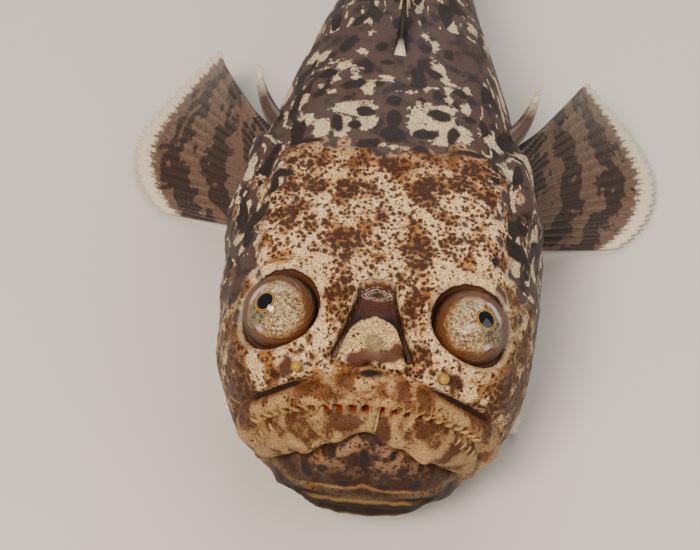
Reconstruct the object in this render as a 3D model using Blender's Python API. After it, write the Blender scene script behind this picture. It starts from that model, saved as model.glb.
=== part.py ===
"""A marbled stargazer at life size, lying on its belly on a flat floor, with its head towards -Y.

The body is a row of rounded sections along its length. Its form is worked out straight, in the fish's
own frame: x across, s back from the chin and z up from the floor. Then the tail is swung a little
to one side and the whole is moved so that its box stands over the origin. All lengths are in metres.
"""

import math

import bmesh
import bpy
import numpy as np
from mathutils import Matrix, Vector

# Driving sizes
STANDARD_LENGTH = 0.250  # chin to the root of the tail fin
HEAD_HALF_WIDTH = 0.0385
HEAD_TOP = 0.0625  # height of the nape above the floor
CHIN_HEIGHT = 0.027  # height of the foremost point of the chin
NECK = 0.082  # where the head ends and the torso starts
VENT = 0.152  # where the torso ends and the tail starts
GAP = 0.0003  # clear space that touching pieces keep
SLIVER = 0.00002  # edges shorter than this are closed up after a cut

# Where along s the box of the finished model has its middle, and across it
MIDDLE_S = 0.14975
MIDDLE_X = 0.0

# Courses of the body: (place along s, size there)
WIDTHS = ((0.0, 0.0375), (0.030, 0.0380), (0.045, HEAD_HALF_WIDTH), (0.062, 0.0380), (0.080, 0.0358),
          (0.110, 0.0300), (0.140, 0.0232), (0.170, 0.0165), (0.200, 0.0105), (0.225, 0.0070),
          (STANDARD_LENGTH, 0.0048))
TOPS = ((0.0, 0.0590), (0.017, 0.0597), (0.035, 0.0610), (0.060, HEAD_TOP), (0.080, 0.0635),
        (0.100, 0.0630), (0.125, 0.0603), (0.150, 0.0560), (0.180, 0.0503), (0.215, 0.0445),
        (STANDARD_LENGTH, 0.0410))
BOTTOMS = ((0.0, 0.0035), (0.030, 0.0030), (0.042, 0.0012), (0.052, -0.0012), (0.098, -0.0012),
           (0.107, 0.0), (0.120, 0.0030), (0.140, 0.0070), (0.170, 0.0130), (0.200, 0.0170),
           (0.225, 0.0190), (STANDARD_LENGTH, 0.0200))
MIDDLES = ((0.0, 0.50), (0.020, 0.46), (0.060, 0.45), (0.100, 0.50), (STANDARD_LENGTH, 0.50))
UPPER_POWERS = ((0.0, 2.2), (0.012, 2.5), (0.035, 3.6), (0.065, 3.3), (0.100, 2.7), (0.160, 2.3),
                (STANDARD_LENGTH, 2.1))
LOWER_POWERS = ((0.0, 2.2), (0.012, 2.5), (0.040, 2.2), (0.100, 2.2), (STANDARD_LENGTH, 2.0))
WIDTH_CAP = (0.040, 2.35)  # how far back the face rounds off, and how squarely
TOP_CAP = (0.016, 1.9)
BOTTOM_CAP = (0.023, 3.0)

# Arches of the face seen from the front: half width, height of the feet, rise, squareness
LIP_CREASE = (0.0310, 0.0295, 0.0278, 1.75)  # between the snout and the upper lip
MOUTH = (0.0260, 0.0295, 0.0205, 2.10)  # the slit between the lips
LIP_FOOT = (0.0225, 0.0240, 0.0205, 1.80)  # under the lower lip
CHIN_PLATE = (0.0230, 0.0120, 0.0305, 1.55)
JAW_DEPTH = 0.0146  # how far back the jaws are pieces of their own
CORNER = 0.0240  # height of the corners of the mouth
CHIN_LOW, CHIN_HALF = 0.0125, 0.0225  # height of the lower edge of the chin, and its half width there
CHIN_ROWS = (0, 0.25, 0.50, 0.72, 0.88, 1.0, 1.06, 1.12, 1.18, 1.25, 1.34, 1.46, 1.58, 1.68, 1.74,
             1.79, 1.84, 1.88, 1.92, 1.96, 2.0)

# The eye: place of its orbit across and along, half sizes of the opening, and height of its middle
ORBIT = (0.0211, 0.0247)
EYE_LOW, EYE_MIDDLE = 0.0512, 0.0560
EYE_SIZE = (0.0085, 0.0088, 0.0086)

# The hollow between the eyes that the upper jaw slides in
FOSSA_BACK, FOSSA_FRONT = 0.0322, 0.0120
FOSSA_HALF_WIDTHS = (0.0038, 0.0094)
FOSSA_DEPTH = 0.0032
# Half width of the end of the jaw that shows in it, which is below 0 behind its tip
NOSE = ((0.0110, 0.0098), (0.0140, 0.0087), (0.0170, 0.0071), (0.0192, 0.0058), (0.0216, 0.0042),
        (0.0234, 0.0023), (0.0243, 0.0), (0.0252, -0.0040))
NOSTRIL = (0.0157, 0.0106)

PLATE_EDGE = 0.0712  # rear edge of the bony plate on the head
SWING_START, SWING = 0.135, 0.024  # where the tail starts to swing, and how far its end goes


def smooth(low, high, x):
    """0 below low and 1 above high, with a soft rise between."""
    t = np.clip((np.asarray(x, float) - low) / (high - low), 0.0, 1.0)
    return t * t * (3.0 - 2.0 * t)


def bump(x, width):
    """A soft hump, 1 at x = 0 and gone by about two widths."""
    return np.exp(-((np.asarray(x, float) / width) ** 2))


def course(s, knots):
    """A smooth line through the (place, size) knots that never overshoots them."""
    places, sizes = np.array(knots, float).T
    steps = np.diff(places)
    slopes = np.diff(sizes) / steps
    tangents = np.empty(len(places))
    tangents[0], tangents[-1] = slopes[0], slopes[-1]
    agree = slopes[:-1] * slopes[1:] > 0
    safe = np.where(agree, slopes[:-1], 1.0), np.where(agree, slopes[1:], 1.0)
    near, far = 2 * steps[1:] + steps[:-1], steps[1:] + 2 * steps[:-1]
    tangents[1:-1] = np.where(agree, (near + far) / (near / safe[0] + far / safe[1]), 0.0)
    s = np.clip(s, places[0], places[-1])
    i = np.clip(np.searchsorted(places, s) - 1, 0, len(steps) - 1)
    t = (s - places[i]) / steps[i]
    return (sizes[i] * (1 + 2 * t) * (1 - t) ** 2 + tangents[i] * steps[i] * t * (1 - t) ** 2
            + sizes[i + 1] * t * t * (3 - 2 * t) + tangents[i + 1] * steps[i] * t * t * (t - 1))


def cap(s, reach, power):
    """Share of its full size that the body has at s, from 0 at the chin to 1 from reach back."""
    t = np.clip(1 - s / reach, 0.0, 1.0)
    return (1 - t ** power) ** (1 / power)


def half_width(s):
    return course(s, WIDTHS) * cap(s, *WIDTH_CAP)


def top_line(s):
    return CHIN_HEIGHT + (course(s, TOPS) - CHIN_HEIGHT) * cap(s, *TOP_CAP)


def bottom_line(s):
    return CHIN_HEIGHT + (course(s, BOTTOMS) - CHIN_HEIGHT) * cap(s, *BOTTOM_CAP)


def body_point(s, angle):
    """A point of the plain body: angle is 0 at the fish's left side, 90 degrees on its back."""
    s, angle = np.broadcast_arrays(np.asarray(s, float), np.asarray(angle, float))
    low, high = bottom_line(s), top_line(s)
    middle = low + (high - low) * course(s, MIDDLES)
    across, up = np.cos(angle), np.sin(angle)
    power = np.where(up > 0, course(s, UPPER_POWERS), course(s, LOWER_POWERS))
    rise = np.where(up > 0, high - middle, middle - low)
    reach = (np.abs(across / half_width(s)) ** power + np.abs(up / rise) ** power) ** (-1 / power)
    return np.stack([across * reach, s, middle + up * reach], -1)


def under_side(x, s):
    """Height of the plain body's underside at x across and s back."""
    low, high, power = bottom_line(s), top_line(s), course(s, LOWER_POWERS)
    rise = (high - low) * course(s, MIDDLES)
    return float(low + rise * (1 - (1 - (x / half_width(s)) ** power) ** (1 / power)))


def face_place(x, z):
    """How far back from the chin the plain face lies at x across and z up, by halving."""
    x, z = np.broadcast_arrays(np.asarray(x, float), np.asarray(z, float))
    near, far = np.full(x.shape, 1e-5), np.full(x.shape, 0.040)
    for _ in range(36):
        s = (near + far) / 2
        low, high = bottom_line(s), top_line(s)
        middle = low + (high - low) * course(s, MIDDLES)
        power = np.where(z > middle, course(s, UPPER_POWERS), course(s, LOWER_POWERS))
        rise = np.where(z > middle, high - middle, middle - low)
        outside = np.abs(x / half_width(s)) ** power + np.abs((z - middle) / rise) ** power > 1
        near, far = np.where(outside, s, near), np.where(outside, far, s)
    return (near + far) / 2


def arch_distance(x, z, arch):
    """Distance outwards from an arch of the face, negative inside it."""
    half, foot, rise, power = arch
    a = np.abs(x) / half + 1e-6
    b = np.maximum(z - foot, 0.0) / rise + 1e-6
    ratio = (a ** power + b ** power) ** (1 / power)
    slope = np.hypot(a ** (power - 1) / half, b ** (power - 1) / rise) * ratio ** (1 - power)
    return (ratio - 1) / slope


def arch_point(arch, turn):
    """(x, z) on an arch of the face: turn is -1 at its right foot, 0 at its crown, 1 at its left foot."""
    half, foot, rise, power = arch
    angle = math.pi / 2 * (1 - abs(turn))
    x = half * math.cos(angle) ** (2 / power)
    return math.copysign(x, turn), foot + rise * math.sin(angle) ** (2 / power)


def face_relief(x, s, z):
    """Lips, chin and throat folds: how far they stand out of the plain face."""
    to_crease = arch_distance(x, z, LIP_CREASE)
    to_mouth = arch_distance(x, z, MOUTH)
    to_foot = arch_distance(x, z, LIP_FOOT)
    to_plate = arch_distance(x, z, CHIN_PLATE)
    upper = np.clip(to_mouth / np.maximum(to_mouth - to_crease, 1e-4), 0.0, 1.0)
    lower = np.clip(to_foot / np.maximum(to_foot - to_mouth, 1e-4), 0.0, 1.0)
    above_feet = smooth(0.018, 0.028, z)
    out = 0.0016 * 4 * upper * (1 - upper) * above_feet
    out = out + 0.0021 * 4 * lower * (1 - lower) * above_feet
    out = out - 0.0016 * bump(to_foot, 0.0011) * above_feet
    out = out + 0.0014 * smooth(0.0005, -0.0025, to_plate) * smooth(0.012, 0.018, z)
    out = out - 0.0013 * bump(x, 0.0022) * smooth(0.024, 0.030, z) * smooth(0.0445, 0.0420, z)
    for side in (-1, 1):
        out = out + 0.0013 * bump(np.hypot(x - side * 0.0052, z - 0.0415), 0.0024)
        out = out + 0.0018 * bump(np.hypot((x - side * 0.0126) / 1.4, z - 0.0385), 0.0019)
    for height, size in ((0.0205, 0.0016), (0.0155, 0.0018)):
        fold = bump(z - height + 10 * x * x, 0.0014) * smooth(0.018, 0.010, np.abs(x))
        out = out + size * fold * smooth(0.0128, 0.0150, z)
    return out * smooth(0.022, 0.014, s)


def crown_relief(x, s, z):
    """Orbits, the hollow of the upper jaw and the bony plate: how far they stand out of the head's top."""
    wide, along = np.abs(x) - ORBIT[0], s - ORBIT[1]
    ring = np.hypot(wide / EYE_SIZE[0], along / EYE_SIZE[1])
    out = 0.0014 * bump((ring - 1.17) * EYE_SIZE[0], 0.0017)
    share = np.clip((s - FOSSA_FRONT) / (FOSSA_BACK - FOSSA_FRONT), 0, 1)
    half = FOSSA_HALF_WIDTHS[1] + (FOSSA_HALF_WIDTHS[0] - FOSSA_HALF_WIDTHS[1]) * share
    half = half * np.clip((FOSSA_BACK - s) / 0.0050, 0.0, 1.0) ** 0.4
    inside = smooth(half + 0.0004, half - 0.0014, np.abs(x))
    inside = inside * smooth(FOSSA_FRONT - 0.0015, FOSSA_FRONT + 0.0015, s)
    nose = course(s, NOSE)
    hollow = inside * (1 - smooth(nose + 0.0014, nose - 0.0010, np.abs(x)))
    out = out - FOSSA_DEPTH * hollow
    rim = bump(np.abs(x) - half - 0.0009, 0.0012)
    out = out + 0.0009 * rim * smooth(0.013, 0.016, s) * smooth(0.034, 0.031, s)
    scallop = PLATE_EDGE - 0.0045 * bump(x, 0.0035)
    on_plate = smooth(scallop + 0.0015, scallop - 0.0010, s) * smooth(0.0295, 0.0255, np.abs(x))
    out = out + 0.0010 * on_plate * smooth(0.026, 0.036, s)
    brow = bump(np.abs(x) - 0.0240, 0.0050) * smooth(0.036, 0.045, s) * smooth(0.074, 0.066, s)
    out = out + 0.0012 * brow
    out = out - 0.0010 * bump(x, 0.0100) * smooth(0.036, 0.046, s) * smooth(0.072, 0.062, s)
    return out * smooth(0.040, 0.050, z)


def body_skin(s, angle, lift):
    """A point on the finished skin of the fish's left side, lifted off it, and the way the skin faces."""
    point = body_point(s, angle)
    normal = np.cross(body_point(s + 0.0005, angle) - point, body_point(s, angle + 0.01) - point)
    normal /= np.linalg.norm(normal)
    raised = float(face_relief(*point) + crown_relief(*point)) if s < NECK else 0.0
    return point + normal * (raised + lift), normal


def column_angles(columns):
    """Angles round the body, closest together on its back and widest apart under its belly."""
    turn = np.linspace(-math.pi / 2, 3 * math.pi / 2, 721)
    crown = np.abs(turn - math.pi / 2)
    density = 0.55 + 0.65 * smooth(2.2, 1.4, crown) + 1.3 * smooth(0.55, 0.30, crown)
    reach = np.concatenate([[0.0], np.cumsum((density[1:] + density[:-1]) / 2)])
    return np.interp(reach[-1] * np.arange(columns) / columns, reach, turn)


def body_grid(stations, columns, relief):
    """Rings of points round the body at the stations, with the relief raised along the surface's own lie."""
    angle = column_angles(columns)
    points = body_point(np.asarray(stations)[:, None], angle[None, :])
    if relief:
        step_s = np.gradient(points, axis=0)
        step_a = np.roll(points, -1, axis=1) - np.roll(points, 1, axis=1)
        normal = np.cross(step_s, step_a)
        normal /= np.linalg.norm(normal, axis=-1, keepdims=True)
        x, s, z = np.moveaxis(points, -1, 0)
        points = points + normal * (face_relief(x, s, z) + crown_relief(x, s, z))[..., None]
    points[..., 2] = np.maximum(points[..., 2], 0.0)
    return points


def mesh_object(name, points, faces):
    """A new object of these points and faces, with its faces turned outwards."""
    mesh = bpy.data.meshes.new(name)
    mesh.from_pydata([tuple(p) for p in points], [], [tuple(f) for f in faces])
    work = bmesh.new()
    work.from_mesh(mesh)
    bmesh.ops.recalc_face_normals(work, faces=work.faces)
    bmesh.ops.triangulate(work, faces=work.faces, ngon_method="EAR_CLIP")
    work.to_mesh(mesh)
    work.free()
    obj = bpy.data.objects.new(name, mesh)
    bpy.context.scene.collection.objects.link(obj)
    return obj


def ring_solid(name, rings, first, last):
    """A closed solid of rings of equal count, closed at each end by a fan to a point."""
    rows, columns = rings.shape[:2]
    points = [first, *rings.reshape(-1, 3), last]
    faces = []
    for j in range(columns):
        k = (j + 1) % columns
        faces.append((0, 1 + k, 1 + j))
        for i in range(rows - 1):
            a, b = 1 + i * columns, 1 + (i + 1) * columns
            faces.append((a + j, a + k, b + k, b + j))
        a = 1 + (rows - 1) * columns
        faces.append((a + j, a + k, len(points) - 1))
    return mesh_object(name, points, faces)


def face_stations(count):
    """Places along s that spread rings evenly over the rounded face."""
    reach, power = WIDTH_CAP
    share = np.arange(1, count + 1) / (count + 1.5)
    return reach * (1 - (1 - share ** power) ** (1 / power))


def body_length(name, stations, columns, relief=False, chin=False):
    """A length of the body as a closed solid."""
    rings = body_grid(stations, columns, relief)
    middles = [rings[k].mean(0) for k in (0, -1)]
    if chin:
        middles[0] = np.array([0.0, 0.0, CHIN_HEIGHT])
    return ring_solid(name, rings, *middles)


def evaluated(obj):
    """Makes the object's modifiers part of its mesh, and closes up slivers that they leave."""
    graph = bpy.context.evaluated_depsgraph_get()
    mesh = bpy.data.meshes.new_from_object(obj.evaluated_get(graph))
    obj.modifiers.clear()
    obj.data = mesh
    work = bmesh.new()
    work.from_mesh(mesh)
    bmesh.ops.remove_doubles(work, verts=work.verts, dist=SLIVER)
    bmesh.ops.dissolve_degenerate(work, edges=work.edges, dist=SLIVER)
    bmesh.ops.triangulate(work, faces=work.faces)
    work.to_mesh(mesh)
    work.free()


def combine(obj, others, operation, solver="EXACT"):
    """Joins, cuts or crosses the object with the others, which are then removed."""
    group = bpy.data.collections.new("pieces")
    bpy.context.scene.collection.children.link(group)
    for other in others:
        group.objects.link(other)
    modifier = obj.modifiers.new("combine", "BOOLEAN")
    modifier.operation = operation
    modifier.solver = solver
    modifier.operand_type = "COLLECTION"
    modifier.collection = group
    evaluated(obj)
    for other in others:
        bpy.data.objects.remove(other)
    bpy.data.collections.remove(group)
    return obj


def keep_largest(obj):
    """Drops all but the largest closed surface of the object."""
    work = bmesh.new()
    work.from_mesh(obj.data)
    work.verts.ensure_lookup_table()
    left, shells = set(work.verts), []
    while left:
        shell, edge = set(), [left.pop()]
        while edge:
            vert = edge.pop()
            shell.add(vert)
            near = {e.other_vert(vert) for e in vert.link_edges} & left
            left -= near
            edge.extend(near)
        shells.append(shell)
    shells.sort(key=len)
    bmesh.ops.delete(work, geom=[v for shell in shells[:-1] for v in shell], context="VERTS")
    work.to_mesh(obj.data)
    work.free()


def prism(name, outline, front, back):
    """A closed block: an outline of (x, z) points carried from front to back along s."""
    rings = np.array([[(x, s, z) for x, z in outline] for s in (front, back)])
    return ring_solid(name, rings, rings[0].mean(0), rings[1].mean(0))


def arch_outline(arch, grow, *feet, steps=28):
    """(x, z) points over an arch that is grown outwards, and down on each side through the feet."""
    half, foot, rise, power = arch
    grown = (half + grow, foot, rise + grow, power)
    over = [arch_point(grown, 2 * k / steps - 1) for k in range(steps + 1)]
    return [(-x, z) for x, z in reversed(feet)] + over + list(feet)


def spike(name, path, root_radius, tip_radius, sides=5):
    """A tapered spike along a path of points, from the root to the tip."""
    path = np.array(path, float)
    square = np.eye(3)[np.argmin(np.abs(path[-1] - path[0]))]
    angle = 2 * math.pi * np.arange(sides)[:, None] / sides
    rings = []
    for i, middle in enumerate(path):
        along = path[min(i + 1, len(path) - 1)] - path[max(i - 1, 0)]
        across = np.cross(along, square)
        across /= np.linalg.norm(across)
        over = np.cross(across, along / np.linalg.norm(along))
        radius = root_radius + (tip_radius - root_radius) * i / (len(path) - 1)
        rings.append(middle + radius * (np.cos(angle) * across + np.sin(angle) * over))
    return ring_solid(name, np.array(rings), path[0], path[-1])


def face_skin(x, z, lift=0.0):
    """The point of the finished face at x across and z up, lifted off it."""
    step = 1e-4
    s = face_place(x, z)
    normal = np.stack([(face_place(x + step, z) - s) / step, -np.ones_like(s),
                       (face_place(x, z + step) - s) / step], -1)
    normal /= np.linalg.norm(normal, axis=-1, keepdims=True)
    raised = np.asarray(face_relief(x, s, z) + lift)
    return np.stack([x, s, z], -1) + normal * raised[..., None]


def jaw_solid(name, outlines, rows_at):
    """A jaw: the finished face between outlines of (x, z) points, closed by a flat back. Row 0 lies on
    the first outline, row 1 on the second, and so on, with fractions between them."""
    outlines, rows_at = np.array(outlines), np.array(rows_at)
    before = np.minimum(rows_at.astype(int), len(outlines) - 2)
    share = (rows_at - before)[:, None, None]
    flat = outlines[before] * (1 - share) + outlines[before + 1] * share
    front = face_skin(flat[..., 0], flat[..., 1])
    rows, columns = front.shape[:2]
    rim = [j for j in range(columns)]
    rim += [i * columns + columns - 1 for i in range(1, rows)]
    rim += [(rows - 1) * columns + j for j in range(columns - 2, -1, -1)]
    rim += [i * columns for i in range(rows - 2, 0, -1)]
    front, flat = front.reshape(-1, 3), flat.reshape(-1, 2)
    front[rim, 0], front[rim, 2] = flat[rim, 0], flat[rim, 1]
    back = front[rim] * (1, 0, 1) + (0, JAW_DEPTH - GAP, 0)
    faces = [(i * columns + j, i * columns + j + 1, (i + 1) * columns + j + 1, (i + 1) * columns + j)
             for i in range(rows - 1) for j in range(columns - 1)]
    first, count = len(front), len(rim)
    faces += [(rim[k], rim[(k + 1) % count], first + (k + 1) % count, first + k) for k in range(count)]
    faces.append([first + k for k in range(count)])
    return mesh_object(name, np.concatenate([front, back]), faces)


def fringe(name, turns, inward, length):
    """Tapered threads along the slit of the mouth: inward is -1 for those that hang down over it and
    1 for those that stand up to it."""
    half, foot, rise, power = MOUTH
    threads = []
    for k, turn in enumerate(turns):
        reach = length * (1 - 0.30 * abs(turn)) * (1 + 0.12 * math.sin(7.0 * k))
        lean = 6.0 * math.sin(5.0 * k)
        path = []
        for along, lift in ((-0.0024, -0.0011), (-0.0006, 0.0008), (reach, 0.0005)):
            beside = (half + inward * along, foot, rise + inward * along, power)
            x, z = arch_point(beside, turn + lean * along)
            sunk = min(lift, 0.0)
            path.append(face_skin(x, z, lift if inward > 0 else max(lift, 0.0)) - (0.0, sunk, 0.0))
        threads.append(spike(f"{name}_{k}", path, 0.00046, 0.00026, sides=4))
    return threads


def head_and_jaws():
    """The head, and the two jaws parted from it by thin cuts along the crease and the mouth."""
    stations = np.concatenate([face_stations(15)[:14], np.linspace(0.0172, 0.0440, 16),
                               np.linspace(0.0466, NECK, 12)])
    head = body_length("head", stations, 68, relief=True, chin=True)
    wide, narrow = LIP_CREASE[0], MOUTH[0]
    over = arch_outline(LIP_CREASE, -GAP, (wide - GAP, CORNER + GAP))
    under = arch_outline(MOUTH, GAP / 2, (narrow + GAP / 2, CORNER + GAP))
    upper_jaw = jaw_solid("upper_jaw", (over, under), np.linspace(0, 1, 8))
    over = arch_outline(MOUTH, -GAP / 2, (narrow - GAP / 2, CORNER))
    lip_foot = arch_outline(LIP_FOOT, 0.0, (LIP_FOOT[0], CORNER - 0.0020))
    under = [(x / narrow * (CHIN_HALF - GAP), CHIN_LOW + GAP) for x, z in over]
    lower_jaw = jaw_solid("lower_jaw", (over, lip_foot, under), CHIN_ROWS)
    both = arch_outline(LIP_CREASE, 0.0, (wide, CORNER), (narrow + GAP, CORNER),
                        (LIP_FOOT[0] + GAP, CORNER - 0.0020), (CHIN_HALF, CHIN_LOW))
    taken = [prism("both", both, -0.02, JAW_DEPTH)]
    sockets = [eye_ball(f"socket_{side}", side, 0.0004) for side in (-1, 1)]
    combine(head, taken + sockets, "DIFFERENCE")

    tubes = []
    for side in (-1, 1):
        x, s = NOSTRIL
        tube = [(side * x, s + 0.0012, 0.0535), (side * (x + 0.0004), s - 0.0010, 0.0577)]
        tubes.append(spike(f"nostril_{side}", tube, 0.0014, 0.0010, sides=7))
    combine(head, tubes, "UNION")
    count = 24
    hanging = [0.86 * ((2 * k + 1) / count - 1) for k in range(count)]
    standing = [0.86 * ((2 * k + 2) / count - 1) for k in range(count - 1)]
    combine(upper_jaw, fringe("hanging", hanging, -1, 0.0016), "UNION")
    combine(lower_jaw, fringe("standing", standing, 1, 0.0008), "UNION")
    for obj in (head, upper_jaw, lower_jaw):
        keep_largest(obj)
    return [head, upper_jaw, lower_jaw]


def eye_ball(name, side, grow):
    """An eye: a dome over the rim of its orbit and straight walls below it, grown all round by grow."""
    heights = [EYE_LOW - grow, (EYE_LOW + EYE_MIDDLE) / 2, EYE_MIDDLE]
    shares = [1.0, 1.0, 1.0]
    for k in range(1, 6):
        turn = math.radians(15.5 * k)
        heights.append(EYE_MIDDLE + (EYE_SIZE[2] + grow) * math.sin(turn))
        shares.append(math.cos(turn))
    angle = 2 * math.pi * np.arange(20) / 20
    rings = np.empty((len(heights), 20, 3))
    for ring, height, share in zip(rings, heights, shares):
        ring[:, 0] = side * ORBIT[0] + (EYE_SIZE[0] + grow) * share * np.cos(angle)
        ring[:, 1] = ORBIT[1] + (EYE_SIZE[1] + grow) * share * np.sin(angle)
        ring[:, 2] = height
    top = np.array([side * ORBIT[0], ORBIT[1], EYE_MIDDLE + EYE_SIZE[2] + grow])
    return ring_solid(name, rings, rings[0].mean(0), top)


def sheet_solid(name, middles, thickness):
    """A thin closed sheet: a grid of middle points made thick along its own lie, with both faces
    and the rim split into triangles alike."""
    rows, columns = middles.shape[:2]
    down, over = np.gradient(middles, axis=0), np.gradient(middles, axis=1)
    normal = np.cross(down, over)
    normal /= np.linalg.norm(normal, axis=-1, keepdims=True)
    half = normal * (thickness / 2)[..., None]
    points = np.concatenate([(middles + half).reshape(-1, 3), (middles - half).reshape(-1, 3)])
    other = rows * columns
    faces = []
    for i in range(rows - 1):
        for j in range(columns - 1):
            a, b = i * columns + j, i * columns + j + 1
            c, d = b + columns, a + columns
            faces += [(a, b, c), (a, c, d)]
            faces += [(other + a, other + c, other + b), (other + a, other + d, other + c)]
    rim = [j for j in range(columns)]
    rim += [i * columns + columns - 1 for i in range(1, rows)]
    rim += [(rows - 1) * columns + j for j in range(columns - 2, -1, -1)]
    rim += [i * columns for i in range(rows - 2, 0, -1)]
    for k, a in enumerate(rim):
        b = rim[(k + 1) % len(rim)]
        faces += [(a, other + a, other + b), (a, other + b, b)]
    return mesh_object(name, points, faces)


def fin(name, rays, rows, root, reach, ray_thickness=0.0016, membrane=0.0006, sheath=0.0020):
    """A fin whose rays are ridges on its membrane. root(u) gives where a ray starts and reach(u, v)
    how far it has gone by v along it, with u from 0 at the first ray to 1 at the last."""
    columns = 2 * rays - 1
    u = np.linspace(0.0, 1.0, columns)
    v = np.linspace(0.0, 1.0, rows)
    on_ray = (np.arange(columns) % 2 == 0).astype(float)
    middles = np.empty((rows, columns, 3))
    for j in range(columns):
        shorter = 1.0 if on_ray[j] else 0.98
        for i in range(rows):
            middles[i, j] = root(u[j]) + reach(u[j], v[i] * shorter)
    taper = 1 - 0.55 * v[:, None]
    thickness = membrane + (ray_thickness * taper - membrane * 0.5) * on_ray[None, :]
    thickness = thickness + (sheath - membrane) * smooth(0.30, 0.0, v)[:, None]
    return sheet_solid(name, middles, thickness)


def swung(direction, angle):
    """A direction in the (s, z) plane leaning back from upright by angle."""
    return np.array([0.0, math.sin(angle), direction * math.cos(angle)])


def spiny_dorsal_fin():
    """The small first fin of the back, of four spines."""
    first, last = 0.1040, 0.1180

    def root(u):
        s = first + (last - first) * u
        return np.array([0.0, s, float(top_line(s)) + GAP])

    def reach(u, v):
        length = 0.0175 - 0.0085 * u ** 1.5
        return swung(1, math.radians(38 + 20 * u)) * length * v

    return fin("first_dorsal_fin", 4, 6, root, reach, ray_thickness=0.0017)


def soft_dorsal_fin():
    """The long second fin of the back."""
    first, last = 0.1260, 0.2120

    def root(u):
        s = first + (last - first) * u
        return np.array([0.0, s, float(top_line(s)) + GAP])

    def reach(u, v):
        length = 0.0130 + 0.0100 * math.sin(math.pi * min(1.0, 0.22 + 0.62 * u))
        wave = 0.0020 * math.sin(6.0 * u) * v * v
        return swung(1, math.radians(38 + 16 * u + 8 * v)) * length * v + np.array([wave, 0.0, 0.0])

    return fin("second_dorsal_fin", 13, 7, root, reach)


def anal_fin():
    """The long fin under the tail, folded back over the floor."""
    first, last = 0.1200, 0.2100
    clear = 0.0009

    def root(u):
        s = first + (last - first) * u
        return np.array([0.0, s, float(bottom_line(s)) - GAP])

    def reach(u, v):
        drop = root(u)[2] - clear
        angle = math.radians(62 - 12 * u)
        length = drop / math.cos(angle)
        wave = 0.0016 * math.sin(5.0 * u + 0.6) * v * v
        return swung(-1, angle) * length * v + np.array([wave, 0.0, 0.0])

    return fin("anal_fin", 13, 6, root, reach)


def caudal_fin():
    """The square-cut tail fin, with its root as thick as the end of the tail."""
    rise = (float(top_line(STANDARD_LENGTH)) - float(bottom_line(STANDARD_LENGTH))) / 2
    middle = float(bottom_line(STANDARD_LENGTH)) + rise
    length, half = 0.052, 0.0245

    def root(u):
        return np.array([0.0, STANDARD_LENGTH + GAP, middle + (rise - 0.0010) * (1 - 2 * u)])

    def reach(u, v):
        side = 1 - 2 * u
        spread = (half - rise) * side * (1 - (1 - v) ** 1.6)
        trim = 1 - 0.055 * abs(side) ** 3
        wave = 0.0030 * math.sin(3.0 * u) * v * v
        return np.array([wave, length * trim * v, spread])

    return fin("caudal_fin", 12, 9, root, reach, sheath=0.0060)


def pectoral_fin(side):
    """The wide fan behind the head, spread out and down to the floor."""
    top_angle, low_angle = math.radians(12), math.radians(-42)

    def root_parts(u):
        s = 0.0970 - 0.0060 * u
        return body_skin(s, top_angle + (low_angle - top_angle) * u, 0.0)

    def root(u):
        point, normal = root_parts(u)
        start = point + normal * (6.0 * GAP)
        return np.array([side * start[0], start[1], start[2]])

    def reach(u, v):
        point, normal = root_parts(u)
        length = 0.047 + 0.010 * math.sin(math.pi * (0.25 + 0.6 * u)) - 0.010 * u ** 3
        turn = math.radians(24 + 56 * u)
        clear = 0.0020 + 0.019 * (1 - u) ** 3.0
        end = np.array([math.sin(turn) * length, math.cos(turn) * length, clear - point[2]])
        start = normal * 0.007
        bow = np.array([0.0, 0.0, 0.0045 * math.sin(math.pi * v)])
        path = 2 * v * (1 - v) * start + v * v * end + (v - v * v) * 0.55 * end + bow * (1 - u)
        return np.array([side * path[0], path[1], path[2]])

    return fin(f"pectoral_fin_{'left' if side > 0 else 'right'}", 17, 7, root, reach, sheath=0.0036)


def pelvic_fin(side):
    """The short thick fin under the throat, spread back along the floor."""

    def root(u):
        x, s = 0.0100 + 0.0045 * u, 0.0400 - 0.0065 * u
        under = min(under_side(x, s), under_side(x, s + 0.002))
        return np.array([side * x, s, under - 0.0009])

    def reach(u, v):
        length = 0.021 + 0.006 * math.sin(math.pi * (0.15 + 0.7 * u))
        turn = math.radians(52 + 40 * u)
        drop = (0.0014 - root(u)[2]) * v
        return np.array([side * math.sin(turn) * length * v, math.cos(turn) * length * v, drop])

    return fin(f"pelvic_fin_{'left' if side > 0 else 'right'}", 6, 6, root, reach, ray_thickness=0.0010,
               membrane=0.0006, sheath=0.0011)


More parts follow.
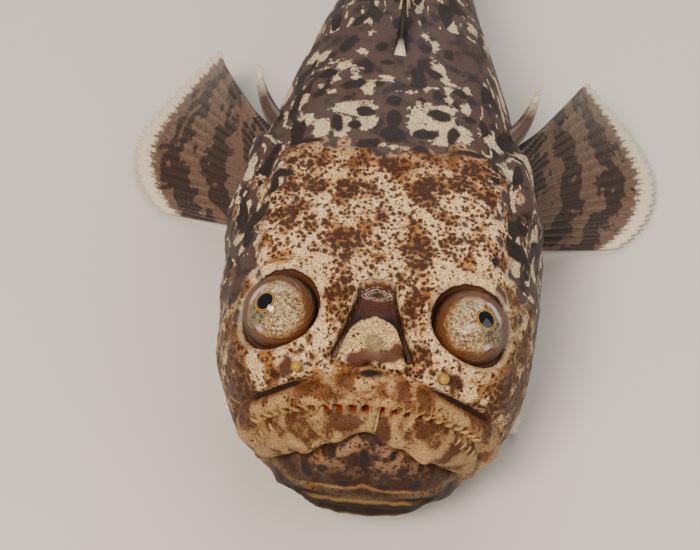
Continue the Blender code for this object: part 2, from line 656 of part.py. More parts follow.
def gill_cover(side):
    """The gill cover as a plate raised on the side of the head, thin at its rim, with spines below."""
    rows, columns = 13, 9
    top_angle, low_angle = math.radians(47), math.radians(-44)
    outer = np.empty((rows, columns, 3))
    inner = np.empty((rows, columns, 3))
    for i in range(rows):
        t = i / (rows - 1)
        angle = top_angle + (low_angle - top_angle) * t
        half = 0.0040 + 0.0170 * (1 - abs(2 * t - 1) ** 2.6) ** 0.5
        front, back = 0.0655 - half, 0.0665 + half
        for j in range(columns):
            w = j / (columns - 1)
            s = front + (back - front) * w
            rim = min(1.0, 4.0 * w, 6.0 * (1 - w) + 0.45, 5.0 * t + 0.15, 5.0 * (1 - t) + 0.15)
            inner[i, j], normal = body_skin(s, angle, 1.6 * GAP)
            outer[i, j] = inner[i, j] + normal * (0.0005 + 0.0013 * rim)
    for grid in (inner, outer):
        grid[..., 0] *= side
    other = rows * columns
    faces = []
    for i in range(rows - 1):
        for j in range(columns - 1):
            a, b = i * columns + j, i * columns + j + 1
            c, d = b + columns, a + columns
            faces += [(a, b, c), (a, c, d)]
            faces += [(other + a, other + c, other + b), (other + a, other + d, other + c)]
    rim = [j for j in range(columns)]
    rim += [i * columns + columns - 1 for i in range(1, rows)]
    rim += [(rows - 1) * columns + j for j in range(columns - 2, -1, -1)]
    rim += [i * columns for i in range(rows - 2, 0, -1)]
    for k, a in enumerate(rim):
        b = rim[(k + 1) % len(rim)]
        faces += [(a, other + a, other + b), (a, other + b, b)]
    return mesh_object(f"gill_cover_{'left' if side > 0 else 'right'}",
                       np.concatenate([outer.reshape(-1, 3), inner.reshape(-1, 3)]), faces)


def torso_and_tail():
    """The torso with its shoulder spines, and the tail."""
    torso = body_length("torso", np.linspace(NECK + GAP, VENT, 12), 40)
    spines = []
    for side in (-1, 1):
        root = body_point(0.0900, math.radians(34))
        steps = ((-0.0030, -0.0030, -0.0010), (0.0016, 0.0025, 0.0005), (0.0046, 0.0085, 0.0028),
                 (0.0062, 0.0150, 0.0046))
        path = [(side * (root[0] + x), root[1] + s, root[2] + z) for x, s, z in steps]
        spines.append(spike(f"shoulder_{side}", path, 0.0026, 0.0004, sides=7))
    combine(torso, spines, "UNION")
    keep_largest(torso)
    tail = body_length("tail", np.linspace(VENT + GAP, STANDARD_LENGTH, 11), 28)
    return [torso, tail]


def swing(point):
    """Moves a point of the straight fish sideways with the tail's swing, its slices kept square to it."""
    span = STANDARD_LENGTH + 0.055 - SWING_START
    t = max(0.0, (point.y - SWING_START) / span)
    shift, slope = SWING * t * t, 2 * SWING * t / span
    angle = math.atan(slope)
    return Vector((shift + point.x * math.cos(angle), point.y - point.x * math.sin(angle), point.z))


MATERIALS = {
    "head": ((0.62, 0.42, 0.27), 0.55),
    "upper_jaw": ((0.55, 0.37, 0.22), 0.50),
    "lower_jaw": ((0.50, 0.33, 0.21), 0.50),
    "gill_cover": ((0.45, 0.30, 0.21), 0.52),
    "eye": ((0.60, 0.50, 0.38), 0.15),
    "torso": ((0.33, 0.20, 0.15), 0.50),
    "tail": ((0.30, 0.19, 0.14), 0.50),
    "first_dorsal_fin": ((0.06, 0.05, 0.05), 0.45),
    "second_dorsal_fin": ((0.45, 0.34, 0.26), 0.45),
    "anal_fin": ((0.66, 0.60, 0.52), 0.45),
    "caudal_fin": ((0.22, 0.15, 0.12), 0.45),
    "pectoral_fin": ((0.40, 0.27, 0.18), 0.45),
    "pelvic_fin": ((0.66, 0.52, 0.42), 0.45),
}


def material_for(name):
    """The material of an object, by its name without left or right."""
    key = name.removesuffix("_left").removesuffix("_right")
    colour, roughness = MATERIALS[key]
    material = bpy.data.materials.get(key) or bpy.data.materials.new(key)
    material.use_nodes = True
    shader = material.node_tree.nodes["Principled BSDF"]
    shader.inputs["Base Color"].default_value = (*colour, 1.0)
    shader.inputs["Roughness"].default_value = roughness
    shader.inputs["Metallic"].default_value = 0.0
    return material


def settle(obj, parent):
    """Swings the object with the tail, moves it over the origin, and puts its own origin in its middle."""
    for vert in obj.data.vertices:
        vert.co = swing(vert.co) - Vector((MIDDLE_X, MIDDLE_S, 0.0))
    places = np.array([vert.co for vert in obj.data.vertices])
    middle = Vector((places.min(0) + places.max(0)) / 2)
    obj.data.transform(Matrix.Translation(-middle))
    obj.parent = parent
    obj.location = middle
    obj.data.materials.clear()
    obj.data.materials.append(material_for(obj.name))
    obj.data.shade_smooth()
    obj.data.set_sharp_from_angle(angle=math.radians(40))


def main():
    for obj in list(bpy.data.objects):
        bpy.data.objects.remove(obj)
    pieces = head_and_jaws() + torso_and_tail()
    for side, word in ((-1, "right"), (1, "left")):
        pieces += [eye_ball(f"eye_{word}", side, 0.0), gill_cover(side), pectoral_fin(side), pelvic_fin(side)]
    pieces += [spiny_dorsal_fin(), soft_dorsal_fin(), anal_fin(), caudal_fin()]
    stargazer = bpy.data.objects.new("stargazer", None)
    bpy.context.scene.collection.objects.link(stargazer)
    for obj in pieces:
        settle(obj, stargazer)


main()
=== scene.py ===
"""The looks of a marbled stargazer at life size, lying on its belly on a pale floor.

The fish's form is worked out straight, in its own frame: x across with the fish's left at +x, s back
from the chin and z up from the floor. Then the tail is swung to one side and the whole is moved so that
its box stands over the origin. All lengths are in metres, but the markings are placed in millimetres.
"""

from __future__ import annotations

import logging
import math
from collections.abc import Sequence
from dataclasses import dataclass
from enum import Enum

import bpy
import numpy as np
from mathutils import Matrix, Vector

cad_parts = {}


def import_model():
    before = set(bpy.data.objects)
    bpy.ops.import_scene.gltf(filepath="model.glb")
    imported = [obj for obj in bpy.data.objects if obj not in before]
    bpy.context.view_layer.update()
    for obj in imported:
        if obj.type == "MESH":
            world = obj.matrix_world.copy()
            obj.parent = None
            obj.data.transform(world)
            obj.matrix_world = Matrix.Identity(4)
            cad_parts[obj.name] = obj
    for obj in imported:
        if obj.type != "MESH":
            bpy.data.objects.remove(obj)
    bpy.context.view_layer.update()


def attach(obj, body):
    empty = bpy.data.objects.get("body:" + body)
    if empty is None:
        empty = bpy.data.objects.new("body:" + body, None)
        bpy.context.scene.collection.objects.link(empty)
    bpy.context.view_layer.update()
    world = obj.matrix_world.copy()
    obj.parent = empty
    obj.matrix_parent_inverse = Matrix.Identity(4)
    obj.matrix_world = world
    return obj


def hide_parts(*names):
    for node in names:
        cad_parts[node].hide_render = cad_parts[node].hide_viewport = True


LOG = logging.getLogger("stargazer")
MM = 0.001
# Depth that a field has far outside its ovals, in millimetres
OUTSIDE = -9.0

Arch = tuple[float, float, float, float]
Array = np.ndarray
Blobs = Sequence[tuple[float, ...]]
Pair = tuple[float, float]
Knots = tuple[Pair, ...]
Material = bpy.types.Material
Piece = bpy.types.Object
Socket = bpy.types.NodeSocket
Point = tuple[float, float, float]


class Side(Enum):
    """The two sides of the fish, by the sign of x."""

    RIGHT = -1
    LEFT = 1

    @property
    def word(self) -> str:
        """The side's name in the names of pieces."""
        return self.name.lower()


# Small shapes of curves


def soft_step(low: float | Array, high: float | Array, x: float | Array) -> Array:
    """Rises from 0 at low to 1 at high as 3t^2 - 2t^3, where t runs from 0 to 1 between them.

    Args:
        low: Where the rise starts.
        high: Where it ends; it may lie below low, and the step then falls.
        x: Where to read it.

    Returns:
        The height of the step at x.
    """
    t = np.clip((np.asarray(x, float) - low) / (np.asarray(high, float) - low), 0.0, 1.0)
    return t * t * (3.0 - 2.0 * t)


def hump(x: float | Array, width: float) -> Array:
    """A soft hump, e to the minus (x over width) squared.

    Args:
        x: Distance from its middle.
        width: Distance at which it has fallen to about a third.

    Returns:
        Its height, 1 in the middle.
    """
    return np.exp(-((np.asarray(x, float) / width) ** 2))


def course(s: float | Array, knots: Knots) -> Array:
    """A smooth line through the knots that never overshoots them: cubic pieces whose slope at a knot is
    the weighted harmonic mean of the slopes on both sides, or level where those differ in sign.

    Args:
        s: Where to read the line.
        knots: Pairs of place and size.

    Returns:
        The size at s.
    """
    places, sizes = np.array(knots, float).T
    steps = np.diff(places)
    slopes = np.diff(sizes) / steps
    tangents = np.empty(len(places))
    tangents[0], tangents[-1] = slopes[0], slopes[-1]
    agree = slopes[:-1] * slopes[1:] > 0
    before, after = np.where(agree, slopes[:-1], 1.0), np.where(agree, slopes[1:], 1.0)
    near, far = 2 * steps[1:] + steps[:-1], steps[1:] + 2 * steps[:-1]
    tangents[1:-1] = np.where(agree, (near + far) / (near / before + far / after), 0.0)
    s = np.clip(s, places[0], places[-1])
    i = np.clip(np.searchsorted(places, s) - 1, 0, len(steps) - 1)
    t = (s - places[i]) / steps[i]
    return (sizes[i] * (1 + 2 * t) * (1 - t) ** 2 + tangents[i] * steps[i] * t * (1 - t) ** 2
            + sizes[i + 1] * t * t * (3 - 2 * t) + tangents[i + 1] * steps[i] * t * t * (t - 1))


def rumple(points: Array, wavelength: float, seed: int, waves: int = 16) -> Array:
    """A smooth uneven field: the sum of sine waves in directions and phases drawn from a seed, each of
    about the given wavelength, over the square root of half their number.

    Args:
        points: Places, with x, y and z last.
        wavelength: Typical distance between crests.
        seed: Seed of the draw.
        waves: How many waves are added.

    Returns:
        The field, about -2 to 2 and 0 on average.
    """
    draw = np.random.default_rng(seed)
    direction = draw.normal(size=(waves, 3))
    direction /= np.linalg.norm(direction, axis=1, keepdims=True)
    pitch = 2 * math.pi / wavelength * draw.uniform(0.7, 1.4, waves)
    phase = draw.uniform(0, 2 * math.pi, waves)
    total = np.zeros(points.shape[:-1])
    for k in range(waves):
        total += np.sin(points @ (direction[k] * pitch[k]) + phase[k])
    return total / math.sqrt(waves / 2)


def blob_field(u: Array, v: Array, blobs: Blobs) -> Array:
    """How deep a place lies inside the nearest of some ovals, in millimetres, and below 0 outside them:
    one less the distance from the oval's middle over its half size, times its smaller half size.

    Args:
        u: First coordinate of the places, in millimetres.
        v: Second coordinate, in millimetres.
        blobs: For each oval its middle, its two half sizes and, where it is turned, its turn in degrees.

    Returns:
        The depth, at least OUTSIDE.
    """
    depth = np.full(np.broadcast(u, v).shape, OUTSIDE)
    for middle_u, middle_v, half_u, half_v, *turn in blobs:
        angle = math.radians(sum(turn))
        cos, sin = math.cos(angle), math.sin(angle)
        along = ((u - middle_u) * cos + (v - middle_v) * sin) / half_u
        over = ((v - middle_v) * cos - (u - middle_u) * sin) / half_v
        depth = np.maximum(depth, (1 - np.hypot(along, over)) * min(half_u, half_v))
    return depth


# Meshes and fields on them


def grid_quads(rows: int, columns: int, closed: bool, first: int = 0) -> Array:
    """The quads of a grid of points whose number is row times columns plus column.

    Args:
        rows: Rows of the grid.
        columns: Points in a row.
        closed: Whether the last column joins the first.
        first: Number of the grid's first point.

    Returns:
        One line of four point numbers for each quad.
    """
    i, j = np.meshgrid(np.arange(rows - 1), np.arange(columns if closed else columns - 1), indexing="ij")
    k = (j + 1) % columns
    quads = np.stack([i * columns + j, i * columns + k, (i + 1) * columns + k, (i + 1) * columns + j], -1)
    return quads.reshape(-1, 4) + first


def fan(tip: int, first: int, columns: int, turned: bool = False) -> Array:
    """The triangles between one point and a closed ring of points.

    Args:
        tip: Number of the one point.
        first: Number of the ring's first point.
        columns: Points in the ring.
        turned: Whether the triangles face the other way.

    Returns:
        One line of three point numbers for each triangle.
    """
    here, after = first + np.arange(columns), first + (np.arange(columns) + 1) % columns
    return np.stack([np.full(columns, tip), *((after, here) if turned else (here, after))], -1)


def mesh_piece(name: str, points: Array, quads: Array, triangles: Array | None = None) -> Piece:
    """A new object with a smooth-shaded mesh of these points and faces.

    Args:
        name: The piece's name.
        points: One line of x, y and z for each point.
        quads: Faces of four points.
        triangles: Faces of three points, if any.

    Returns:
        The object, at the origin.
    """
    triangles = np.zeros((0, 3), int) if triangles is None else np.asarray(triangles)
    mesh = bpy.data.meshes.new(name)
    corners = np.concatenate([quads.ravel(), triangles.ravel()]).astype(np.int32)
    starts = np.concatenate([np.arange(len(quads)) * 4, len(quads) * 4 + np.arange(len(triangles)) * 3])
    mesh.vertices.add(len(points))
    mesh.vertices.foreach_set("co", np.asarray(points, np.float32).ravel())
    mesh.loops.add(len(corners))
    mesh.loops.foreach_set("vertex_index", corners)
    mesh.polygons.add(len(starts))
    mesh.polygons.foreach_set("loop_start", starts.astype(np.int32))
    mesh.update(calc_edges=True)
    mesh.validate()
    mesh.shade_smooth()
    piece = bpy.data.objects.new(name, mesh)
    bpy.context.scene.collection.objects.link(piece)
    return piece


def set_field(piece: Piece, name: str, values: Array) -> None:
    """Stores a number or a colour at every point of a piece's mesh, for its material to read.

    Args:
        piece: The piece.
        name: The field's name.
        values: One number for each point, or one line of red, green and blue.
    """
    values = np.asarray(values, np.float32)
    if values.ndim == 1:
        piece.data.attributes.new(name, "FLOAT", "POINT").data.foreach_set("value", values)
    else:
        opaque = np.concatenate([values, np.ones((len(values), 1), np.float32)], 1)
        piece.data.attributes.new(name, "FLOAT_COLOR", "POINT").data.foreach_set("color", opaque.ravel())


def sheet_piece(name: str, middles: Array, thickness: Array) -> tuple[Piece, Array]:
    """A thin closed sheet: each point of a grid is moved half the thickness to both sides along the
    surface normal, the cross product of the grid's two directions, and the rims are joined.

    Args:
        name: The piece's name.
        middles: Grid of points of the middle surface.
        thickness: Thickness at each of them.

    Returns:
        The object, and for each of its points the number of the grid point that it comes from.
    """
    rows, columns = middles.shape[:2]
    normal = np.cross(np.gradient(middles, axis=0), np.gradient(middles, axis=1))
    normal /= np.maximum(np.linalg.norm(normal, axis=-1, keepdims=True), 1e-12)
    half = normal * (thickness / 2)[..., None]
    points = np.concatenate([(middles + half).reshape(-1, 3), (middles - half).reshape(-1, 3)])
    count = rows * columns
    front = grid_quads(rows, columns, False)
    index = np.arange(count).reshape(rows, columns)
    rim = np.concatenate([index[0], index[1:, -1], index[-1, -2::-1], index[-2:0:-1, 0]])
    after = np.roll(rim, -1)
    walls = np.stack([rim, rim + count, after + count, after], -1)
    piece = mesh_piece(name, points, np.concatenate([front, front[:, ::-1] + count, walls]))
    return piece, np.concatenate([np.arange(count)] * 2)


def tube_rings(path: Array, radius: Array, sides: int) -> Array:
    """Rings of points round a path: the middle plus the radius times the cosine and sine of the turn
    along two directions square to the path.

    Args:
        path: Points of the path.
        radius: Radius at each of them.
        sides: Points in a ring.

    Returns:
        Rings of points.
    """
    along = np.gradient(path, axis=0)
    square = np.eye(3)[np.argmin(np.abs(path[-1] - path[0]))]
    across = np.cross(along, square)
    across /= np.linalg.norm(across, axis=-1, keepdims=True)
    over = np.cross(across, along / np.linalg.norm(along, axis=-1, keepdims=True))
    turn = 2 * math.pi * np.arange(sides) / sides
    ring = np.cos(turn)[None, :, None] * across[:, None] + np.sin(turn)[None, :, None] * over[:, None]
    return path[:, None] + radius[:, None, None] * ring


# The form of the fish


@dataclass(frozen=True)
class BodyForm:
    """The plain body: rounded sections along its length, each with its own width, top, bottom and
    squareness, and with the face rounded off at the front."""

    standard_length: float = 0.250
    chin_height: float = 0.027
    middle_s: float = 0.14975
    face_depth: float = 0.040
    halvings: int = 36
    tail_fin: float = 0.055
    swing_start: float = 0.135
    swing: float = 0.024
    widths: Knots = ((0.0, 0.0375), (0.030, 0.0380), (0.045, 0.0385), (0.062, 0.0380), (0.080, 0.0358),
                     (0.110, 0.0300), (0.140, 0.0232), (0.170, 0.0165), (0.200, 0.0105), (0.225, 0.0070),
                     (0.250, 0.0048))
    tops: Knots = ((0.0, 0.0590), (0.017, 0.0597), (0.035, 0.0610), (0.060, 0.0625), (0.080, 0.0635),
                   (0.100, 0.0630), (0.125, 0.0603), (0.150, 0.0560), (0.180, 0.0503), (0.215, 0.0445),
                   (0.250, 0.0410))
    bottoms: Knots = ((0.0, 0.0035), (0.030, 0.0030), (0.042, 0.0012), (0.052, -0.0012), (0.098, -0.0012),
                      (0.107, 0.0), (0.120, 0.0030), (0.140, 0.0070), (0.170, 0.0130), (0.200, 0.0170),
                      (0.225, 0.0190), (0.250, 0.0200))
    middles: Knots = ((0.0, 0.50), (0.020, 0.46), (0.060, 0.45), (0.100, 0.50), (0.250, 0.50))
    upper_powers: Knots = ((0.0, 2.2), (0.012, 2.5), (0.035, 3.6), (0.065, 3.3), (0.100, 2.7),
                           (0.160, 2.3), (0.250, 2.1))
    lower_powers: Knots = ((0.0, 2.2), (0.012, 2.5), (0.040, 2.2), (0.100, 2.2), (0.250, 2.0))
    width_cap: Pair = (0.040, 2.35)
    top_cap: Pair = (0.016, 1.9)
    bottom_cap: Pair = (0.023, 3.0)

    @staticmethod
    def cap(s: float | Array, reach: float, power: float) -> Array:
        """Share of its full size at s: (1 - (1 - s/reach)^power)^(1/power), and 1 from reach back.

        Args:
            s: Place back from the chin.
            reach: Where the full size is reached.
            power: Squareness of the rounding.

        Returns:
            The share.
        """
        t = np.clip(1 - np.asarray(s, float) / reach, 0.0, 1.0)
        return (1 - t ** power) ** (1 / power)

    def half_width(self, s: float | Array) -> Array:
        """Half width of the section at s."""
        return course(s, self.widths) * self.cap(s, *self.width_cap)

    def top_line(self, s: float | Array) -> Array:
        """Height of the back at s."""
        return self.chin_height + (course(s, self.tops) - self.chin_height) * self.cap(s, *self.top_cap)

    def bottom_line(self, s: float | Array) -> Array:
        """Height of the belly at s."""
        rise = course(s, self.bottoms) - self.chin_height
        return self.chin_height + rise * self.cap(s, *self.bottom_cap)

    def point(self, s: float | Array, angle: float | Array) -> Array:
        """A point of the plain body: from the section's middle, in the direction of the angle, to where
        |x/half width|^power + |height/rise|^power is 1.

        Args:
            s: Place back from the chin.
            angle: Turn round the body, 0 at the fish's left and a quarter turn on its back.

        Returns:
            The point's x, s and z.
        """
        s, angle = np.broadcast_arrays(np.asarray(s, float), np.asarray(angle, float))
        low, high = self.bottom_line(s), self.top_line(s)
        middle = low + (high - low) * course(s, self.middles)
        across, up = np.cos(angle), np.sin(angle)
        power = np.where(up > 0, course(s, self.upper_powers), course(s, self.lower_powers))
        rise = np.where(up > 0, high - middle, middle - low)
        reach = (np.abs(across / self.half_width(s)) ** power + np.abs(up / rise) ** power) ** (-1 / power)
        return np.stack([across * reach, s, middle + up * reach], -1)

    def under_side(self, x: Array, s: Array) -> Array:
        """Height of the plain body's underside at x across and s back, solved from its section."""
        low, high, power = self.bottom_line(s), self.top_line(s), course(s, self.lower_powers)
        return low + (high - low) * course(s, self.middles) * (
            1 - (1 - (np.abs(x) / self.half_width(s)) ** power) ** (1 / power))

    def face_place(self, x: Array, z: Array) -> Array:
        """How far back from the chin the plain face lies at x across and z up, by halving.

        Args:
            x: Places across.
            z: Places up.

        Returns:
            Their places back.
        """
        x, z = np.broadcast_arrays(np.asarray(x, float), np.asarray(z, float))
        near, far = np.full(x.shape, 1e-5), np.full(x.shape, self.face_depth)
        for _ in range(self.halvings):
            s = (near + far) / 2
            low, high = self.bottom_line(s), self.top_line(s)
            middle = low + (high - low) * course(s, self.middles)
            power = np.where(z > middle, course(s, self.upper_powers), course(s, self.lower_powers))
            rise = np.where(z > middle, high - middle, middle - low)
            outside = np.abs(x / self.half_width(s)) ** power + np.abs((z - middle) / rise) ** power > 1
            near, far = np.where(outside, s, near), np.where(outside, far, s)
        return (near + far) / 2

    def posed(self, points: Array) -> Array:
        """Moves points of the straight fish to where the posed one has them: sideways by the swing times
        t squared, where t grows along the tail, with the slices kept square to the swing.

        Args:
            points: Points as x, s and z.

        Returns:
            The same points in the row frame.
        """
        x, s, z = np.moveaxis(points, -1, 0)
        span = self.standard_length + self.tail_fin - self.swing_start
        t = np.maximum(0.0, (s - self.swing_start) / span)
        turn = np.arctan(2 * self.swing * t / span)
        return np.stack([self.swing * t * t + x * np.cos(turn), s - x * np.sin(turn) - self.middle_s, z], -1)


@dataclass(frozen=True)
class FaceForm:
    """Lips, chin and throat. Each arch is half width, height of its feet, rise and squareness."""

    crease: Arch = (0.0310, 0.0295, 0.0278, 1.75)
    mouth: Arch = (0.0260, 0.0295, 0.0205, 2.10)
    lip_foot: Arch = (0.0225, 0.0240, 0.0200, 1.22)
    chin_plate: Arch = (0.0230, 0.0120, 0.0305, 1.55)
    lappets: float = 28.0
    swells: Pair = (0.0016, 0.0021)
    slit_depths: Pair = (0.0004, 0.0021)
    slit_width: float = 0.00075
    # Knobs of the chin: place across and up, stretch sideways, size and height
    knobs: Blobs = ((0.0052, 0.0415, 1.0, 0.0024, 0.0015), (0.0126, 0.0385, 1.4, 0.0019, 0.0020))
    # Folds of the throat: height up the face and depth
    throat_folds: Knots = ((0.0258, 0.0010), (0.0216, 0.0016), (0.0150, 0.0019), (0.0105, 0.0012))

    def mouth_turn(self, x: Array, z: Array) -> Array:
        """Where along the mouth a place near it lies, from -1 at its right corner to 1 at its left.

        Args:
            x: Places across.
            z: Places up.

        Returns:
            The turn, from the arc cosine of the place's share of the arch's half width.
        """
        half, foot, rise, power = self.mouth
        a = np.abs(x) / half + 1e-6
        b = np.maximum(z - foot, 0.0) / rise + 1e-6
        share = a / (a ** power + b ** power) ** (1 / power)
        return np.copysign(1 - np.arccos(np.clip(share, 0, 1) ** (power / 2)) * 2 / math.pi, x)

    def gap_share(self, x: Array, z: Array) -> Array:
        """1 where the slit gapes between two lappets of the upper lip, and 0 on a lappet."""
        turn = self.mouth_turn(x, z)
        return (soft_step(-0.35, 0.45, np.cos(math.pi * self.lappets * turn))
                * soft_step(0.86, 0.72, np.abs(turn)))

    @staticmethod
    def distance(x: Array, z: Array, arch: Arch) -> Array:
        """Distance outwards from an arch: the ratio (a^power + b^power)^(1/power), where a is |x| over the
        half width and b the height over the feet over the rise, less 1 and over its own slope.

        Args:
            x: Places across.
            z: Places up.
            arch: The arch.

        Returns:
            The distance in metres, negative inside the arch.
        """
        half, foot, rise, power = arch
        a = np.abs(x) / half + 1e-6
        b = np.maximum(z - foot, 0.0) / rise + 1e-6
        ratio = (a ** power + b ** power) ** (1 / power)
        slope = np.hypot(a ** (power - 1) / half, b ** (power - 1) / rise) * ratio ** (1 - power)
        return (ratio - 1) / slope

    def slit(self, x: Array, z: Array) -> Array:
        """Depth of the mouth's slit: that of a lappet or a gap, times a soft hump across the slit."""
        depth = self.slit_depths[0] + self.slit_depths[1] * self.gap_share(x, z)
        return depth * hump(self.distance(x, z, self.mouth), self.slit_width)

    def relief(self, x: Array, s: Array, z: Array) -> Array:
        """How far the lips, chin and throat folds stand out of the plain face.

        Args:
            x: Places across.
            s: Places back.
            z: Places up.

        Returns:
            The height over the plain face in metres.
        """
        to_crease, to_mouth = self.distance(x, z, self.crease), self.distance(x, z, self.mouth)
        to_foot, to_plate = self.distance(x, z, self.lip_foot), self.distance(x, z, self.chin_plate)
        upper = np.clip(to_mouth / np.maximum(to_mouth - to_crease, 1e-4), 0.0, 1.0)
        lower = np.clip(to_foot / np.maximum(to_foot - to_mouth, 1e-4), 0.0, 1.0)
        above = soft_step(0.018, 0.028, z)
        out = self.swells[0] * 4 * upper * (1 - upper) * above
        out += self.swells[1] * 4 * lower * (1 - lower) * above
        out -= 0.0018 * hump(to_foot, 0.0010) * above
        out -= 0.0014 * hump(to_crease - 0.0001, 0.00085) * soft_step(0.026, 0.034, z)
        out -= self.slit(x, z) * soft_step(0.022, 0.030, z)
        out += 0.0014 * soft_step(0.0005, -0.0025, to_plate) * soft_step(0.012, 0.018, z)
        out -= 0.0015 * hump(x, 0.0021) * soft_step(0.024, 0.030, z) * soft_step(0.0445, 0.0420, z)
        for side in Side:
            for across, up, stretch, size, height in self.knobs:
                away = np.hypot((x - side.value * across) / stretch, z - up)
                out += height * hump(away, size)
        for height, size in self.throat_folds:
            fold = hump(z - height + 10 * x * x, 0.0013) * soft_step(0.018, 0.010, np.abs(x))
            out += size * fold * soft_step(0.0090, 0.0120, z)
        return out * soft_step(0.024, 0.016, s)


@dataclass(frozen=True)
class CrownForm:
    """The top of the head: orbits, the hollow that the upper jaw slides in, and the bony plate."""

    orbit: Pair = (0.0211, 0.0247)
    eye_size: tuple[float, float, float] = (0.0086, 0.0089, 0.0086)
    fossa_ends: Pair = (0.0120, 0.0326)
    fossa: Knots = ((0.0115, 0.0101), (0.0139, 0.0094), (0.0166, 0.0083), (0.0203, 0.0069), (0.0240, 0.0058),
                    (0.0278, 0.0048), (0.0330, 0.0040))
    fossa_depth: float = 0.0032
    fossa_round: float = 0.0022
    nose: Knots = ((0.0110, 0.0080), (0.0146, 0.0071), (0.0174, 0.0063), (0.0194, 0.0056), (0.0212, 0.0047),
                   (0.0224, 0.0036), (0.0232, 0.0022), (0.0243, 0.0001), (0.0252, -0.0030))
    plate_edge: float = 0.0712

    def orbit_ring(self, x: Array, s: Array) -> Array:
        """Distance from the middle of the nearer eye in shares of the eye's own half size."""
        across, along = np.abs(x) - self.orbit[0], s - self.orbit[1]
        return np.hypot(across / self.eye_size[0], along / self.eye_size[1])

    def fossa_half(self, s: Array) -> Array:
        """Half width of the hollow at s, rounded off at the back."""
        t = np.clip((s - self.fossa_ends[1]) / self.fossa_round + 1, 0.0, 1.0)
        return course(s, self.fossa) * (1 - t ** 2) ** 0.5

    def hollow(self, x: Array, s: Array) -> Array:
        """Share of the hollow's full depth: soft steps at its sides, ends and nose, multiplied.

        Args:
            x: Places across.
            s: Places back from the chin.

        Returns:
            1 on its floor, and 0 outside it and on the nose.
        """
        half, nose = self.fossa_half(s), course(s, self.nose)
        inside = soft_step(half + 0.0003, half - 0.0009, np.abs(x))
        inside *= soft_step(self.fossa_ends[0] - 0.0015, self.fossa_ends[0] + 0.0015, s)
        inside *= soft_step(self.fossa_ends[1], self.fossa_ends[1] - 0.0024, s)
        return inside * (1 - soft_step(nose + 0.0008, nose - 0.0006, np.abs(x)))

    def relief(self, x: Array, s: Array, z: Array) -> Array:
        """How far the head's top stands out of the plain body.

        Args:
            x: Places across.
            s: Places back.
            z: Places up.

        Returns:
            The height over the plain body in metres.
        """
        ring = self.orbit_ring(x, s)
        out = 0.0013 * hump((ring - 1.16) * self.eye_size[0], 0.0011)
        out -= 0.0007 * soft_step(1.07, 1.00, ring) + 0.0050 * soft_step(0.965, 0.86, ring)
        half = self.fossa_half(s)
        slope = 0.50 * soft_step(0.0170, 0.0245, s) * soft_step(half, half - 0.0012, np.abs(x))
        out -= self.fossa_depth * np.maximum(self.hollow(x, s), slope)
        rim = hump(np.abs(x) - half - 0.0009, 0.0011)
        out += 0.0010 * rim * soft_step(0.013, 0.016, s) * soft_step(0.034, 0.031, s)
        scallop = self.plate_edge - 0.0045 * hump(x, 0.0035) + 0.0011 * np.cos(x / 0.0031)
        on_plate = soft_step(scallop + 0.0010, scallop - 0.0006, s) * soft_step(0.0295, 0.0255, np.abs(x))
        out += 0.0011 * on_plate * soft_step(0.026, 0.036, s)
        edges = hump(np.abs(x) - 0.0240, 0.0050) * soft_step(0.036, 0.045, s)
        out += 0.0012 * edges * soft_step(0.074, 0.066, s)
        out -= 0.0010 * hump(x, 0.0100) * soft_step(0.036, 0.046, s) * soft_step(0.072, 0.062, s)
        return out * soft_step(0.040, 0.050, z)


@dataclass(frozen=True)
class GillCoverForm:
    """The gill cover: a rounded plate on the side of the head, from a top turn down to a low one."""

    top_angle: float = math.radians(47)
    low_angle: float = math.radians(-44)
    middle_s: float = 0.0655
    height: float = 0.0020

    def place(self, s: Array, turn: Array) -> tuple[Array, Array]:
        """Where a place lies on the cover.

        Args:
            s: Places back from the chin.
            turn: Turn up from the widest line of that side.

        Returns:
            Distance in from its front and from its rear edge, negative outside.
        """
        t = np.clip((self.top_angle - turn) / (self.top_angle - self.low_angle), 0.0, 1.0)
        half = 0.0040 + 0.0170 * np.maximum(1 - np.abs(2 * t - 1) ** 2.6, 0.0) ** 0.5
        outside = (turn > self.top_angle) | (turn < self.low_angle)
        front, rear = s - (self.middle_s - half), (self.middle_s + 0.001 + half) - s
        return np.where(outside, -0.01, front), np.where(outside, -0.01, rear)

    def relief(self, s: Array, turn: Array) -> Array:
        """How far the cover stands out: a long soft rise in front and a short drop behind, rippled.

        Args:
            s: Places back from the chin.
            turn: Turn up from the widest line of that side.

        Returns:
            The height over the plain body in metres.
        """
        front, rear = self.place(s, turn)
        ends = soft_step(self.low_angle, self.low_angle + 0.16, turn)
        ends *= soft_step(self.top_angle, self.top_angle - 0.16, turn)
        rise = soft_step(0.0, 0.016, front) * soft_step(-0.0003, 0.0011, rear) * ends
        return self.height * rise * (1 + 0.10 * np.cos(turn * 26.0 + s * 210.0))


BODY = BodyForm()
FACE = FaceForm()
CROWN = CrownForm()
COVER = GillCoverForm()


def side_turn(angle: Array) -> Array:
    """Turn up from the widest line of the nearer side, for an angle round the body."""
    return np.arcsin(np.clip(np.sin(angle), -1, 1))


def raised(points: Array, angle: Array) -> Array:
    """How far the finished skin stands out of the plain body at its points, unevenness and all.

    Args:
        points: Points of the plain body as x, s and z.
        angle: Their angles round the body.

    Returns:
        The height in metres.
    """
    x, s, z = np.moveaxis(points, -1, 0)
    out = FACE.relief(x, s, z) + CROWN.relief(x, s, z) + COVER.relief(s, side_turn(angle))
    free = soft_step(0.004, 0.012, z)
    out += 0.00022 * rumple(points, 0.014, 11) * free * soft_step(0.006, 0.014, s)
    out += 0.00008 * rumple(points, 0.0034, 12) * free * soft_step(0.080, 0.060, s)
    return out


